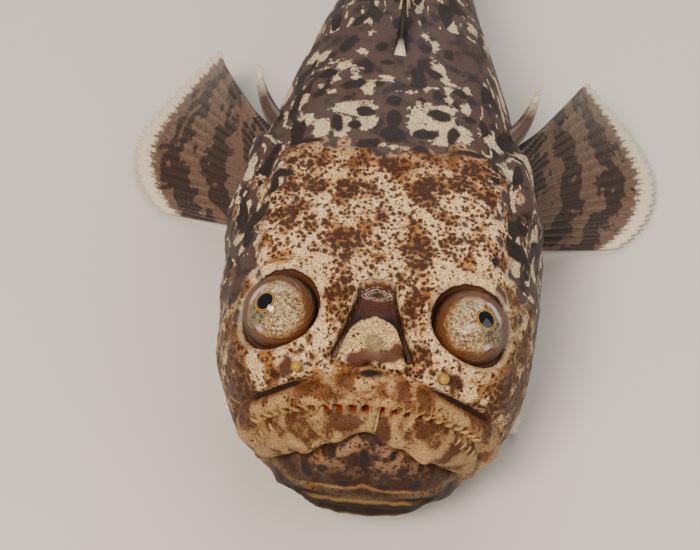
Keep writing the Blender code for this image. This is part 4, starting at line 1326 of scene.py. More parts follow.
    def stations(self) -> Array:
        """Places along s whose rings are spread by the mean length of the skin between them, with the
        face and the head closest together.

        Returns:
            The places, from just behind the chin to the root of the tail fin.
        """
        s = BODY.standard_length * np.linspace(0.0004, 1.0, 4000) ** 1.7
        angle = np.linspace(0, 2 * math.pi, 37)[:-1]
        points = BODY.point(s[:, None], angle[None, :])
        step = np.linalg.norm(np.diff(points, axis=0), axis=-1)
        weight = 0.40 + 0.60 * soft_step(0.0, 1.0, np.sin(angle))
        length = (step * weight).sum(1) / weight.sum()
        here = (s[1:] + s[:-1]) / 2
        close = 0.20 + 0.55 * soft_step(0.092, 0.072, here) + 1.15 * soft_step(0.024, 0.016, here)
        reach = np.concatenate([[0.0], np.cumsum(length * close)])
        return np.interp(np.linspace(0, reach[-1], self.rows), reach, s)

    def angles(self) -> Array:
        """Angles round the body, spread by the length of a ring of the head, closest on its top.

        Returns:
            The angles, from the belly round and up to just before it again.
        """
        angle = np.linspace(-math.pi / 2, 3 * math.pi / 2, 2001)
        points = BODY.point(0.030, angle)
        step = np.linalg.norm(np.diff(points, axis=0), axis=-1)
        turn = (angle[1:] + angle[:-1]) / 2
        close = 0.45 + 0.75 * soft_step(2.3, 1.5, np.abs(turn - math.pi / 2))
        reach = np.concatenate([[0.0], np.cumsum(step * close)])
        return np.interp(reach[-1] * np.arange(self.columns) / self.columns, reach, angle)

    def tones(self, at: SkinMap) -> dict[str, Array]:
        """Works out the skin's colours, and how much stain, specks and grain it has.

        Args:
            at: Where its points lie.

        Returns:
            The fields by name.
        """
        x, s, z, wide, front, crown = at.x, at.s, at.z, at.wide, at.front, at.crown
        bony, lips = at.regions["bony"], at.regions["upper_lip"] + at.regions["lower_lip"]
        ground, stain = (np.broadcast_to(linear(tint), (*x.shape, 3))
                         for tint in (FLANK_TONE.ground, FLANK_TONE.stain))
        cover, speck, grainy = FLANK_TONE.cover, FLANK_TONE.speck, FLANK_TONE.grain
        for region, tone in TONES.items():
            weight = at.regions[region]
            ground, stain = toward(ground, tone.ground, weight), toward(stain, tone.stain, weight)
            cover = cover + (tone.cover - cover) * weight
            speck = speck + (tone.speck - speck) * weight
            grainy = grainy + (tone.grain - grainy) * weight

        # The plate: denser, golden and rear areas, clear rims of the orbits, and blotches of face and lips
        dense = soft_step(-1.2, 1.2, blob_field(x, s, self.crown_blotches)) * crown * bony
        gold = soft_step(-2.0, 2.0, blob_field(x, s, self.crown_gold)) * crown * bony
        rear = soft_step(60.0, 68.5, s + 1.6 * at.torn) * crown * bony
        brown = soft_step(-1.4, 0.9, blob_field(x, z, self.face_blotches) + 0.5 * at.torn)
        brown = brown * front * soft_step(30, 34, z)
        ink = soft_step(-1.5, 1.0, blob_field(x, z, self.ink))
        for weight, over, share, under, depth in (
                (gold, "#D2A45C", 0.55, "#8A551C", 0.60), (rear, "#8C5E38", 0.62, "#5A3418", 0.70),
                (brown * lips, "#66401E", 0.55, "#503014", 0.55)):
            ground, stain = toward(ground, over, share * weight), toward(stain, under, depth * weight)
        cover = np.minimum(cover + 0.26 * dense + 0.16 * rear + (0.50 - 0.25 * lips) * brown, 1.0)
        speck = speck + 0.34 * dense - 0.18 * soft_step(1.9, 1.3, at.around) * crown * bony
        speck = speck + 0.30 * soft_step(20.0, 26.0, wide) * brown + 0.34 * ink * at.regions["chin"]

        # The floor of the snout's hollow: brown behind, blue-black in its two pits and pale in its legs
        deep = soft_step(-0.1, 0.4, at.inside_hollow()) * soft_step(-0.8, 0.5, wide - at.nose) * crown
        bed = np.broadcast_to(linear("#4A2A1C"), ground.shape)
        for tint, weight in (("#64341A", soft_step(31.2, 31.9, s)),
                             ("#20120E", hump(np.hypot(x / 1.5, s - 30.8), 0.8)),
                             ("#241C22", hump(np.hypot(wide - 3.4, (s - 23.4) / 1.4), 2.0)),
                             ("#6A544C", soft_step(20.5, 17.5, s))):
            bed = toward(bed, tint, weight)
        ground = ground + (bed - ground) * deep[..., None]
        stain = stain + (0.7 * bed - stain) * deep[..., None]

        # Golden lines of the throat, the pale nose with its stains, the dusky throat, and painted shade on
        # the lips towards their corners
        golden = at.golden_lines()
        on_nose = soft_step(at.nose + 0.1, at.nose - 0.7, wide) * soft_step(11.0, 13.0, s) * crown
        stained = soft_step(-0.8, 0.1, blob_field(x, s, self.snout_stains) + 0.55 * at.torn)
        stained = stained * soft_step(38.0, 42.0, z) * soft_step(9.0, 11.0, s)
        stained = stained * (1 - 0.40 * hump(np.hypot(x - 0.5, s - 16.6), 2.2))
        for weight, over, share, under, depth in (
                (golden, "#96723C", 0.62, "#96723C", 0.75), (on_nose, "#E4D6A8", 1.0, "#8E5A2A", 1.0),
                (stained, "#4A1E02", 0.98, "#2E1002", 0.98)):
            ground, stain = toward(ground, over, share * weight), toward(stain, under, depth * weight)
        dusk = at.regions["chin"] * soft_step(39.0, 28.0, z) + at.regions["throat"]
        ground = toward(ground, "#281C17", 0.84 * dusk * (1 - golden))
        # Painted shade: the lips darker towards their corners
        ground = ground * (1 - 0.22 * lips * soft_step(12.0, 24.0, wide))[..., None]
        return {"ground": ground, "stain": stain, "cover": cover - 0.30 * on_nose,
                "speck": (speck - 0.6 * deep) * (1 - golden) - 0.32 * on_nose,
                "grainy": (grainy * (1 - 0.6 * deep) + 0.45 * on_nose) * (1 - 0.80 * stained)}

    def marks(self, at: SkinMap) -> dict[str, Array]:
        """Works out how deep the skin's points lie in its dark spots and in its pale patches.

        Args:
            at: Where the points lie.

        Returns:
            The fields dark and pale, in millimetres.
        """
        x, s, z, bony = at.x, at.s, at.z, at.regions["bony"]
        flank = (1 - bony) * (1 - at.regions["belly"]) * soft_step(34.0, 44.0, s)
        back = soft_step(24.0, 20.0, at.wide) * soft_step(124.0, 116.0, s)
        on_flank = flank * (1 - back) > 0.3
        marble = rumple(at.points * (1.0, 0.55, 1.0), 0.0068, 22)
        net = rumple(at.points * (1.0, 0.48, 1.0), 0.0078, 23) + 0.35 * at.torn
        lace = 0.9 - np.abs(net + 0.45) * 4.2 - 1.4 * soft_step(0.4, 1.0, marble)
        lace = np.maximum(lace, (net - 1.15) * 2.2)
        dark = np.where((z > 44) & (s > 28), blob_field(x, s, self.back_spots), OUTSIDE)
        dark = np.maximum(dark, np.where(s < 20, blob_field(x, z, self.face_spots) - 0.1, OUTSIDE))
        dark = np.maximum(dark, np.where(on_flank, (marble - 0.55) * 2.2, OUTSIDE))
        pale = np.where((z > 44) & (s > 68), blob_field(x, s, self.back_patches), OUTSIDE)
        pale = np.maximum(pale, np.where(on_flank, lace, OUTSIDE))
        return {"dark": dark, "pale": np.where(bony * (1 - at.regions["cheek"]) > 0.5, OUTSIDE, pale)}

    def outlines(self, at: SkinMap) -> dict[str, Array]:
        """Works out where the skin's folds, its lines of painted shade, sockets and hollow have their edges.

        Args:
            at: Where its points lie.

        Returns:
            The fields by name: the shade lines and row are weights, and the others distances in millimetres.
        """
        x, s, z, wide = at.x, at.s, at.z, at.wide
        line = 0.62 * soft_step(9.0, 19.0, wide) * soft_step(30.0, 25.5, wide) - 0.16
        under_lip = soft_step(3.0, 7.0, wide) * soft_step(25.0, 29.0, z) * at.front
        gill_front, gill_rear = COVER.place(at.points[..., 1], at.turn)
        # Lines of painted shade: in the groove at the foot of the lower lip, just behind the rear edge of the
        # gill cover, and between the folds of the throat
        shade_line = np.maximum(0.90 * hump(at.foot, 0.50) * under_lip,
                          0.9 * hump(gill_rear / MM + 0.3, 0.9) * (gill_front > 0))
        for height, depth in ((25.2, 0.45), (19.2, 0.75), (17.4, 0.85), (12.8, 0.8)):
            fold = depth * hump(at.throat_arch() - height, 0.9) * soft_step(15.0, 9.0, wide)
            shade_line = np.maximum(shade_line, fold * (s < 22))
        outer = at.inside_hollow()
        hollow = np.where(z > 50, np.minimum(outer, 4.0 * (wide - at.nose)) - 0.25, OUTSIDE)
        ring = 1.5 * (np.hypot((x - 0.1) / 3.1, (s - 30.4) / 1.15) - 1) + 0.50 * soft_step(30.3, 31.0, s)
        turn = FACE.mouth_turn(at.points[..., 0], at.points[..., 2])
        return {"shade_line": shade_line,
                "slit": np.where((z > 28) & (s < 22), at.mouth, -OUTSIDE),
                "row": np.cos(math.pi * FACE.lappets * turn) - 3.0 * soft_step(0.72, 0.86, np.abs(turn)),
                "socket": np.where(z > 46, (at.around - 1.0) * self.socket_half, -OUTSIDE),
                "hollow": hollow + 1.2 * soft_step(30.0, 31.6, s) * (outer > 0),
                "ring": ring,
                "crease": np.where((z > 30) & (s < 24), np.abs(at.crease - 0.1) - line, -OUTSIDE)}

    def build(self) -> Piece:
        """Makes the skin: rings of points round the body, closed at the chin and at the tail.

        Returns:
            The skin.
        """
        s, angle = np.meshgrid(self.stations(), self.angles(), indexing="ij")
        points, _ = skin_point(s, angle)
        points[..., 2] = np.maximum(points[..., 2], 0.0)
        rows, columns = s.shape
        ends = [points[0].mean(0)[None], points[-1].mean(0)[None]]
        chin, last = rows * columns, (rows - 1) * columns
        fans = np.concatenate([fan(chin, 0, columns, True), fan(chin + 1, last, columns)])
        everything = np.concatenate([points.reshape(-1, 3), *ends])
        piece = mesh_piece("skin", BODY.posed(everything), grid_quads(rows, columns, True), fans)
        at = SkinMap(BODY.point(s, angle), angle)
        fields = {}
        for name, grid in {**self.tones(at), **self.marks(at), **self.outlines(at)}.items():
            values = grid.reshape(rows * columns, *grid.shape[2:])
            fields[name] = np.concatenate([values, values[:1], values[-1:]])
        return finished(piece, fields, self.finish.material("marbled_wet_skin"), "head", "head", "upper_jaw",
                        "lower_jaw", "gill_cover_left", "gill_cover_right", "torso", "tail")


@dataclass
class Eye:
    """One eye: a ball in its socket that bulges a little over the pupil."""

    side: Side
    rows: int = 72
    columns: int = 96
    middle: float = 0.0560
    fall: float = math.radians(122)
    shrink: Point = (0.995, 0.985, 0.985)
    gaze: Point = (0.335, -0.285, 0.85)
    crown: Point = (0.07, -0.45, 0.89)
    bulge: float = 0.55 * MM
    clear: float = 6.7
    radius: float = 8.4
    pupil_height: float = 1.18
    window_height: float = 1.2
    window_drop: float = 2.2
    finish: EyeFinish = EyeFinish()

    def build(self) -> Piece:
        """Makes the ball: the middle plus the half sizes times the direction, from the top down to just
        under the rim of the socket, with a hump of half a millimetre over the pupil.

        Returns:
            The eye.
        """
        mirror = np.array([self.side.value, 1, 1])
        fall = np.linspace(0.0, 1.0, self.rows)[1:] * self.fall
        turn = 2 * math.pi * np.arange(self.columns) / self.columns
        fall, turn = np.meshgrid(fall, turn, indexing="ij")
        direction = np.stack([np.sin(fall) * np.cos(turn), np.sin(fall) * np.sin(turn), np.cos(fall)], -1)
        direction = np.concatenate([direction.reshape(-1, 3), [[0.0, 0.0, 1.0]]])
        gaze, crown = (np.array(way) * mirror / np.linalg.norm(way) for way in (self.gaze, self.crown))
        toward_gaze = np.arccos(np.clip(direction @ gaze, -1, 1)) * self.radius
        rise = self.bulge * hump(toward_gaze / 3.0, 1.0)
        rise += 0.06 * MM * np.sin(direction[:, 2] * 55.0) * (toward_gaze > 5)
        size = np.array(CROWN.eye_size) * self.shrink
        points = mirror * (*CROWN.orbit, self.middle) + direction * (size + rise[:, None])
        name, rings = f"speckled_eye_{self.side.word}", grid_quads(self.rows - 1, self.columns, True)
        cap = fan((self.rows - 1) * self.columns, 0, self.columns)
        piece = mesh_piece(name, BODY.posed(points), rings[:, ::-1], cap)

        # The pupil is an oval that is higher than wide, and the clear skin round it hangs lower
        level = np.array([-gaze[1], gaze[0], 0.0]) / math.hypot(gaze[0], gaze[1])
        steep = np.cross(gaze, level)
        over, up = direction @ level * self.radius, direction @ steep / self.pupil_height * self.radius
        window = np.hypot(over, (up + self.window_drop * np.sign(steep[2])) / self.window_height)
        foot = self.clear - self.radius * np.arccos(np.clip(direction @ crown, -1, 1))
        outward = direction[:, 0] * self.side.value
        seen = direction @ gaze > 0
        fields = {"gaze": np.where(seen, np.hypot(over, up), 20.0), "window": np.where(seen, window, 20.0),
                  "foot": foot, "rim": 1.25 * hump(foot - 0.6, 0.7) * soft_step(0.25, 0.50, outward)}
        return finished(piece, fields, self.finish.material(name), "eye", f"eye_{self.side.word}")


@dataclass
class MouthThreads:
    """The fringes of the lips: soft threads that hang over the slit and smaller ones that stand up to it."""

    reach: float = 0.0003
    width: float = 0.00030
    finish: SoftTissue = SoftTissue(root="#8C6A38", tip="#A68A5A", mottle="#6E4622", turn_at=0.35)

    def thread(self, turn: float, inward: int, root: float, tip: float, width: float, lean: float) -> Array:
        """Rings of one thread, whose path starts on the lip off the slit and crosses it.

        Args:
            turn: Where it roots along the mouth.
            inward: -1 for one that hangs down, 1 for one that stands up.
            root: How far off the slit it roots.
            tip: How far past the slit it goes.
            width: Its largest radius, as a share of the common width.
            lean: How far its tip goes sideways along the mouth, as a share of the mouth.

        Returns:
            The rings.
        """
        half, foot, rise, power = FACE.mouth
        width = self.width * width
        steps = np.linspace(0.0, 1.0, 9)
        along = -root + (root + tip) * steps
        angle = math.pi / 2 * (1 - np.abs(turn + lean * steps))
        x = np.copysign((half + inward * along) * np.cos(angle) ** (2 / power), turn)
        z = foot + (rise + inward * along) * np.sin(angle) ** (2 / power)
        lift = -width + width * 0.95 * np.sin(np.pi * np.clip(steps * 1.02, 0, 1)) ** 0.6
        radius = width * (0.45 + 0.75 * np.sin(np.pi * (0.12 + 0.60 * steps)))
        radius[-1] *= 0.45
        return tube_rings(face_point(x, z, lift + FACE.slit(x, z)), radius, 8)

    def build(self) -> Piece:
        """Makes the threads in one mesh: one on each lappet, finer pale ones between them in the middle,
        the ribs of the lower lip towards the corners, and the two long threads of the middle.

        Returns:
            The threads.
        """
        draw = np.random.default_rng(31)
        tubes = []
        pitch = 1.0 / FACE.lappets
        places = np.arange(-11, 11) * 2 * pitch + pitch
        for turn in places:
            size = draw.uniform(0.8, 1.1)
            lean = pitch * draw.normal() * 0.2
            tubes.append(self.thread(turn, -1, 0.0016 * size, self.reach * size, 1.35, lean))
        for turn in places[np.abs(places) < 0.46]:
            for lean in (-0.9, 0.9):
                root = 0.0030 * draw.uniform(0.70, 1.15)
                start = turn - lean * pitch * draw.uniform(0.5, 1.2)
                tubes.append(self.thread(start, -1, root, -0.0007, 0.52, lean * pitch * 0.8))
        for turn in np.concatenate([np.arange(-0.92, -0.62, 0.072), np.arange(0.60, 0.95, 0.072)]):
            tubes.append(self.thread(turn, 1, 0.0028, -0.0010, 0.88, 0.022 * np.sign(turn)))
        for turn, tip, lean in ((0.010, 0.0030, 0.012), (0.060, 0.0042, -0.012)):
            tubes.append(self.thread(turn, -1, 0.0014, tip, 0.72, lean))
        return tube_piece("mouth_threads", tubes, self.finish.material("soft_lip_threads"), "upper_jaw")


@dataclass
class NostrilTubes:
    """The two short front nostril tubes with their swollen yellow rims."""

    root: Point = (0.0157, 0.0118, 0.0535)
    tip: Point = (0.0161, 0.0094, 0.0582)
    finish: SoftTissue = SoftTissue(root="#4A3014", tip="#9A781C", mottle="#6C4C12", turn_at=0.62)

    def build(self) -> Piece:
        """Makes the tubes: a short path up and forward from the snout with a rim like a bead.

        Returns:
            The tubes.
        """
        t = np.linspace(0.0, 1.0, 12)
        path = np.array(self.root) + (np.array(self.tip) - self.root) * t[:, None]
        radius = 0.0010 - 0.00020 * t + 0.00036 * hump(t - 0.88, 0.16)
        radius[-1] = 0.00060
        tubes = [tube_rings(path * (side.value, 1, 1), radius, 20) for side in Side]
        return tube_piece("nostril_tubes", tubes, self.finish.material("yellow_nostril_tube"), "head")


@dataclass
class ShoulderSpines:
    """The sharp spine on each shoulder, half covered by skin."""

    root_s: float = 0.0900
    root_angle: float = math.radians(34)
    route: tuple[Point, ...] = (
        (-0.0030, -0.0030, -0.0010), (0.0016, 0.0025, 0.0005), (0.0046, 0.0085, 0.0028),
        (0.0062, 0.0150, 0.0046))
    finish: SoftTissue = SoftTissue(
        root="#4A3932", tip="#CDC0A4", mottle="#3A2A24", turn_at=0.66, roughness=0.36)

    def build(self) -> Piece:
        """Makes the spines: paths that leave the skin and taper to their tips.

        Returns:
            The spines.
        """
        t = np.linspace(0.0, 1.0, 14)
        route = BODY.point(self.root_s, self.root_angle) + np.array(self.route)
        place = np.linspace(0, 1, len(route))
        path = np.stack([course(t, tuple(zip(place, values))) for values in route.T], -1)
        radius = 0.0026 * (1 - t) ** 0.8 + 0.00018
        tubes = [tube_rings(path * (side.value, 1, 1), radius, 18) for side in Side]
        return tube_piece("shoulder_spines", tubes, self.finish.material("bone_spine_under_skin"), "torso")


@dataclass
class RayedFin:
    """A fin as one thin sheet with ridges for its rays, which branch towards the margin."""

    name: str
    rays: int
    finish: FinMembrane
    material_name: str
    ray_thickness: float = 0.0015
    membrane: float = 0.00045
    sheath: float = 0.0020
    rows: int = 34
    steps: int = 10
    branch: float = 0.20
    notch: float = 0.035
    slot: str = ""

    def root(self, u: Array) -> Array:
        """Where the fin starts, for u from 0 at the first ray to 1 at the last."""
        raise NotImplementedError

    def reach(self, u: Array, v: Array) -> Array:
        """How far the fin has gone from its root at v, which is 1 at the margin."""
        raise NotImplementedError

    def build(self) -> Piece:
        """Makes the fin: a grid of its middle surface, with the thickness of the membrane plus that of
        the nearest ray, whose section is a hump that parts in two from the middle of its length.

        Returns:
            The fin.
        """
        columns = (self.rays - 1) * self.steps + 1
        u = np.linspace(0.0, 1.0, columns)[None, :]
        v = np.linspace(0.0, 1.0, self.rows)[:, None]
        share = u * (self.rays - 1)
        away = share - np.round(share)
        part = self.branch * soft_step(0.40, 1.0, v)
        width = 0.17 - 0.05 * v
        ray = np.maximum(hump((away - part) / width, 1.0), hump((away + part) / width, 1.0))
        length = v * (1 - self.notch * (1 - ray) * soft_step(0.5, 1.0, v))
        middles = self.root(u) + self.reach(u + 0 * v, length)
        thickness = self.membrane + (self.ray_thickness * (1 - 0.60 * v) - self.membrane * 0.5) * ray
        thickness = thickness + (self.sheath - self.membrane) * soft_step(0.30, 0.0, v)
        thickness = np.where(v > 0.985, thickness * 0.55, thickness)
        piece, source = sheet_piece(f"rayed_{self.name}", BODY.posed(middles), thickness)
        grids = {"along": v, "across": u, "ray": ray}
        fields = {name: np.broadcast_to(grid, ray.shape).ravel()[source] for name, grid in grids.items()}
        material = self.finish.material(self.material_name)
        return finished(piece, fields, material, self.slot or self.name, self.name)


def between(ends: Pair, u: Array) -> Array:
    """The value that runs evenly from the first of two ends to the second as u runs from 0 to 1."""
    return ends[0] + (ends[1] - ends[0]) * u


@dataclass
class MiddleFin(RayedFin):
    """A fin that starts along the middle line of the back or of the belly. Its first and last ray each
    have a place back from the chin and a lean in degrees."""

    up: int = 1
    places: Pair = (0.0, 0.0)
    leans: Pair = (38.0, 54.0)
    sunk: float = 0.0006
    curl: float = 0.0
    wave: float = 0.0
    ripple: Pair = (6.0, 0.0)

    def line(self, s: Array) -> Array:
        """Height of its root's line, which is the back's unless a fin says otherwise."""
        return BODY.top_line(s) - self.sunk

    def root(self, u: Array) -> Array:
        """A line along the body, sunk a little into it."""
        s = between(self.places, u)
        return np.stack([np.zeros_like(s), s, self.line(s)], -1)

    def length(self, u: Array) -> Array:
        """Length of the rays."""
        raise NotImplementedError

    def reach(self, u: Array, v: Array) -> Array:
        """Up or down by the cosine of the lean and back by its sine, with a wave across the fish: a sine
        of the place times v squared.

        Args:
            u: Places from the first ray to the last.
            v: Places from the root to the margin.

        Returns:
            The way from the root.
        """
        lean = np.radians(between(self.leans, u)) + self.curl * v
        wave = self.wave * np.sin(self.ripple[0] * u + self.ripple[1]) * v * v
        length = self.length(u) * v
        return np.stack([wave, np.sin(lean) * length, self.up * np.cos(lean) * length], -1)


@dataclass
class SpinyDorsalFin(MiddleFin):
    """The small first fin of the back, of four spines."""

    places: Pair = (0.1040, 0.1180)
    leans: Pair = (38.0, 58.0)
    height: float = 0.0175
    drop: float = 0.0085

    def length(self, u: Array) -> Array:
        """Length of the spines, less towards the rear."""
        return self.height - self.drop * u ** 1.5


@dataclass
class SoftDorsalFin(MiddleFin):
    """The long second fin of the back."""

    places: Pair = (0.1260, 0.2120)
    curl: float = math.radians(8)
    wave: float = 0.0020
    height: float = 0.0130
    swell: float = 0.0100

    def length(self, u: Array) -> Array:
        """Length of the rays, a sine of the place with its crest before the middle."""
        return self.height + self.swell * np.sin(math.pi * np.minimum(1.0, 0.22 + 0.62 * u))


@dataclass
class AnalFin(MiddleFin):
    """The long fin under the tail, folded back over the floor."""

    up: int = -1
    places: Pair = (0.1200, 0.2100)
    leans: Pair = (62.0, 50.0)
    wave: float = 0.0016
    ripple: Pair = (5.0, 0.6)
    clear: float = 0.0009

    def line(self, s: Array) -> Array:
        """Height of the underside of the tail."""
        return BODY.bottom_line(s) + self.sunk

    def length(self, u: Array) -> Array:
        """Length of the rays from the root to just over the floor."""
        return (self.root(u)[..., 2] - self.clear) / np.cos(np.radians(between(self.leans, u)))


@dataclass
class CaudalFin(RayedFin):
    """The square-cut tail fin."""

    length: float = 0.052
    half: float = 0.0245
    trim: float = 0.055
    wave: float = 0.0030

    def rise(self) -> float:
        """Half height of the end of the tail."""
        end = BODY.standard_length
        return float(BODY.top_line(end) - BODY.bottom_line(end)) / 2

    def root(self, u: Array) -> Array:
        """A line down the end of the tail, a millimetre short of its top and of its bottom."""
        low, rise, s = float(BODY.bottom_line(BODY.standard_length)), self.rise(), BODY.standard_length
        return np.stack([0 * u, 0 * u + s - 0.0006, low + rise + (rise - 0.0010) * (1 - 2 * u)], -1)

    def reach(self, u: Array, v: Array) -> Array:
        """Straight back and spread up and down, shorter at the corners by the trim times the cube of
        the height's share, with a slow wave across the fish.

        Args:
            u: Places from the first ray to the last.
            v: Places from the root to the margin.

        Returns:
            The way from the root.
        """
        side = 1 - 2 * u
        spread = (self.half - self.rise()) * side * (1 - (1 - v) ** 1.6)
        length = self.length * (1 - self.trim * np.abs(side) ** 3)
        return np.stack([self.wave * np.sin(3.0 * u) * v * v, length * v, spread], -1)


@dataclass
class PectoralFin(RayedFin):
    """The wide fan behind the head, spread out and down to the floor."""

    side: Side = Side.LEFT
    places: Pair = (0.0970, 0.0910)
    angles: Pair = (math.radians(12), math.radians(-42))
    turns: Pair = (24.0, 80.0)
    lift: float = 0.0008
    length: float = 0.047
    swell: float = 0.010
    clear: float = 0.0020
    top_clear: float = 0.019
    push: float = 0.007
    pull: float = 0.55
    bow: float = 0.0045

    def start(self, u: Array) -> tuple[Array, Array]:
        """The skin under the root and the way it faces, on the fish's left side."""
        return skin_point(between(self.places, u), between(self.angles, u))

    def root(self, u: Array) -> Array:
        """A slanting line on the side of the body."""
        point, normal = self.start(u)
        return (point + normal * self.lift) * (self.side.value, 1, 1)

    def reach(self, u: Array, v: Array) -> Array:
        """Out from the side, back and down to just over the floor. Each ray is a bent curve: v squared
        times its end, plus v less v squared times a push off the skin and a pull to its end.

        Args:
            u: Places from the first ray to the last.
            v: Places from the root to the margin.

        Returns:
            The way from the root.
        """
        point, normal = self.start(u)
        length = self.length + self.swell * (np.sin(math.pi * (0.25 + 0.6 * u)) - u ** 3)
        turn = np.radians(between(self.turns, u))
        clear = self.clear + self.top_clear * (1 - u) ** 3.0
        end = np.stack([np.sin(turn) * length, np.cos(turn) * length, clear - point[..., 2]], -1)
        v = v[..., None]
        bow = np.concatenate([np.zeros((*v.shape[:-1], 2)), self.bow * np.sin(math.pi * v)], -1)
        path = 2 * v * (1 - v) * normal * self.push + v * v * end + (v - v * v) * self.pull * end
        return (path + bow * (1 - u)[..., None]) * (self.side.value, 1, 1)


@dataclass
class PelvicFin(RayedFin):
    """The short thick fin under the throat, spread back along the floor."""

    side: Side = Side.LEFT
    across: Pair = (0.0100, 0.0145)
    places: Pair = (0.0400, 0.0335)
    turns: Pair = (52.0, 92.0)
    sunk: float = 0.0009
    length: float = 0.021
    swell: float = 0.006
    clear: float = 0.0014

    def root(self, u: Array) -> Array:
        """A short line under the throat, where the skin is lower at s or at two millimetres behind it."""
        x, s = between(self.across, u), between(self.places, u)
        return np.stack([self.side.value * x, s, np.minimum(
            BODY.under_side(x, s), BODY.under_side(x, s + 0.002)) - self.sunk], -1)

    def reach(self, u: Array, v: Array) -> Array:
        """Out and back over the floor: the ray's length times v in the direction of its turn.

        Args:
            u: Places from the first ray to the last.
            v: Places from the root to the margin.

        Returns:
            The way from the root.
        """
        length = v * (self.length + self.swell * np.sin(math.pi * (0.15 + 0.7 * u)))
        turn = np.radians(between(self.turns, u))
        drop = (self.clear - self.root(u)[..., 2]) * v
        return np.stack([self.side.value * np.sin(turn) * length, np.cos(turn) * length, drop], -1)


@dataclass
class Studio:
    """The pale floor, the soft lights and the camera. None of it belongs to the fish."""

    floor_half: float = 3.0
    lit: Point = (0.0, -0.09, 0.04)
    aim: Point = (0.0, 0.020 - BODY.middle_s, 0.050)
    turn: float = math.radians(3.793)
    rise: float = math.radians(51.589)
    roll: float = math.radians(1.684)
    distance: float = 0.300
    left: float = 0.00505
    up: float = 0.017757
    focal_pixels: float = 1335.537
    photo_width: float = 700.0
    sensor: float = 36.0

    def floor(self) -> None:
        """A wide plain floor at the height that the fish lies on, in matt pale grey."""
        half = self.floor_half
        corners = np.array([(-half, -half, 0), (half, -half, 0), (half, half, 0), (-half, half, 0)], float)
        piece = mesh_piece("floor", corners, np.array([[0, 1, 2, 3]]))
        nodes = MaterialNodes("matt_floor")
        nodes.shader.inputs["Base Color"].default_value = (*linear("#CFCBC4"), 1.0)
        nodes.shader.inputs["Roughness"].default_value = 0.9
        piece.data.materials.append(nodes.material)

    def lamp(self, name: str, place: Point, size: float, power: float, tint: str) -> None:
        """A square soft light that looks at the fish's head.

        Args:
            name: Its name.
            place: Where it hangs.
            size: Width of the light.
            power: Its power in watts.
            tint: Its colour.
        """
        light = bpy.data.lights.new(name, "AREA")
        light.size = size
        light.energy = power
        light.color = linear(tint)
        lamp = bpy.data.objects.new(name, light)
        lamp.location = place
        aim = Vector(self.lit) - Vector(place)
        lamp.rotation_euler = aim.to_track_quat("-Z", "Y").to_euler()
        bpy.context.scene.collection.objects.link(lamp)

    def camera(self) -> None:
        """The camera: above and before the fish's face, looking down at it by about half a right angle."""
        turn, rise, roll = self.turn, self.rise, self.roll
        back = Vector((math.sin(turn) * math.cos(rise), -math.cos(turn) * math.cos(rise), math.sin(rise)))
        right = Vector((math.cos(turn), math.sin(turn), 0.0))
        up = back.cross(right)
        right, up = right * math.cos(roll) + up * math.sin(roll), up * math.cos(roll) - right * math.sin(roll)
        place = Vector(self.aim) + back * self.distance - right * self.left + up * self.up

        data = bpy.data.cameras.new("camera")
        data.sensor_width = self.sensor
        data.lens = self.focal_pixels * self.sensor / self.photo_width
        data.clip_start = 0.01
        camera = bpy.data.objects.new("camera", data)
        turned = Matrix((right, up, back)).transposed().to_4x4()
        camera.matrix_world = Matrix.Translation(place) @ turned
        bpy.context.scene.collection.objects.link(camera)
        bpy.context.scene.camera = camera

    def build(self) -> None:
        """Makes the floor, the lights and the camera."""
        self.camera()
        self.floor()
        self.lamp("key_light", (-0.25, -0.55, 0.75), 0.30, 10.0, "#FFF0DC")
        self.lamp("fill_light", (0.60, -0.35, 0.55), 0.60, 2.6, "#FFF8EE")
        self.lamp("back_light", (0.05, 0.60, 0.60), 0.60, 4.0, "#FFFFFF")
        world = bpy.data.worlds.new("studio_air")
        bpy.context.scene.world = world
        world.use_nodes = True
        air = world.node_tree.nodes["Background"]
        air.inputs["Color"].default_value = (*linear("#F2EEE8"), 1.0)
        air.inputs["Strength"].default_value = 0.34


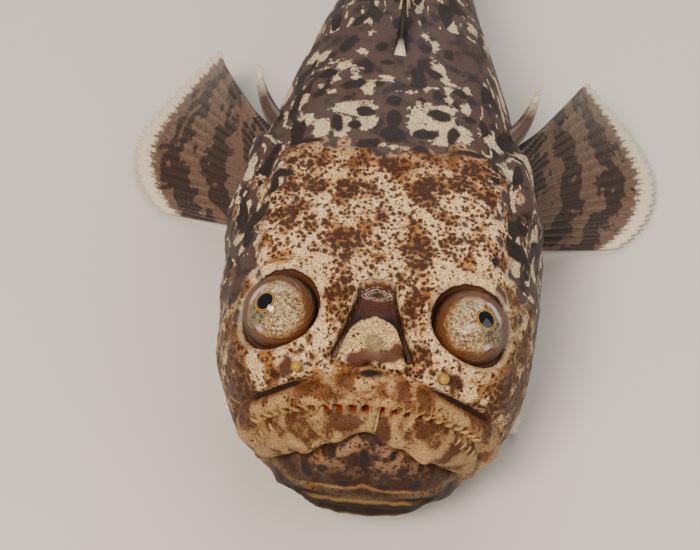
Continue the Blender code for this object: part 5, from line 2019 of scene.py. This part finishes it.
def fins() -> list[RayedFin]:
    """All the fins with their finishes.

    Returns:
        The fins, front to back.
    """
    pectoral = FinMembrane(ground="#6E5749", band="#382924", margin="#D9CDB4", bands=3.5, margin_width=0.10)
    pelvic = FinMembrane(ground="#CDB79C", band="#B0926F", margin="#E2D6C0", bands=1.5, share=0.3)
    spiny = FinMembrane(ground="#2A201E", band="#1C1615", margin="#DCD0B6", bands=1.0, margin_width=0.10,
                        lead=0.13)
    soft = FinMembrane(ground="#C4AD8C", band="#5E3F2E", margin="#E0D4BC", bands=2.2, share=0.42)
    under = FinMembrane(ground="#CFC0A6", band="#B8A488", margin="#E6DCC8", bands=1.2, share=0.25)
    tail = FinMembrane(ground="#6A4836", band="#33241F", margin="#DCCFB4", bands=2.6, share=0.6)
    made: list[RayedFin] = []
    for side in Side:
        made.append(PelvicFin(f"pelvic_fin_{side.word}", 6, pelvic, f"pelvic_fin_skin_{side.word}", side=side,
                              ray_thickness=0.0010, sheath=0.0011, slot="pelvic_fin"))
        made.append(PectoralFin(f"pectoral_fin_{side.word}", 17, pectoral, f"pectoral_fin_skin_{side.word}",
                                side=side, sheath=0.0036, rows=48, slot="pectoral_fin"))
    made.append(SpinyDorsalFin("first_dorsal_fin", 4, spiny, "black_spiny_fin_skin", branch=0.0, notch=0.22))
    made.append(SoftDorsalFin("second_dorsal_fin", 13, soft, "banded_dorsal_fin_skin"))
    made.append(AnalFin("anal_fin", 13, under, "pale_anal_fin_skin"))
    made.append(CaudalFin("caudal_fin", 12, tail, "dark_tail_fin_skin", sheath=0.0060, rows=44))
    return made


def main() -> None:
    """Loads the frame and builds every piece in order."""
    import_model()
    Studio().build()
    assemblies = [Skin(), *(Eye(side) for side in Side), MouthThreads(), NostrilTubes(), ShoulderSpines(),
                  *fins()]
    for assembly in assemblies:
        piece = assembly.build()
        LOG.info("%s: %d points, %d faces", piece.name, len(piece.data.vertices), len(piece.data.polygons))


if __name__ == "__main__":
    logging.basicConfig(level=logging.INFO, format="%(name)s: %(message)s")
    main()
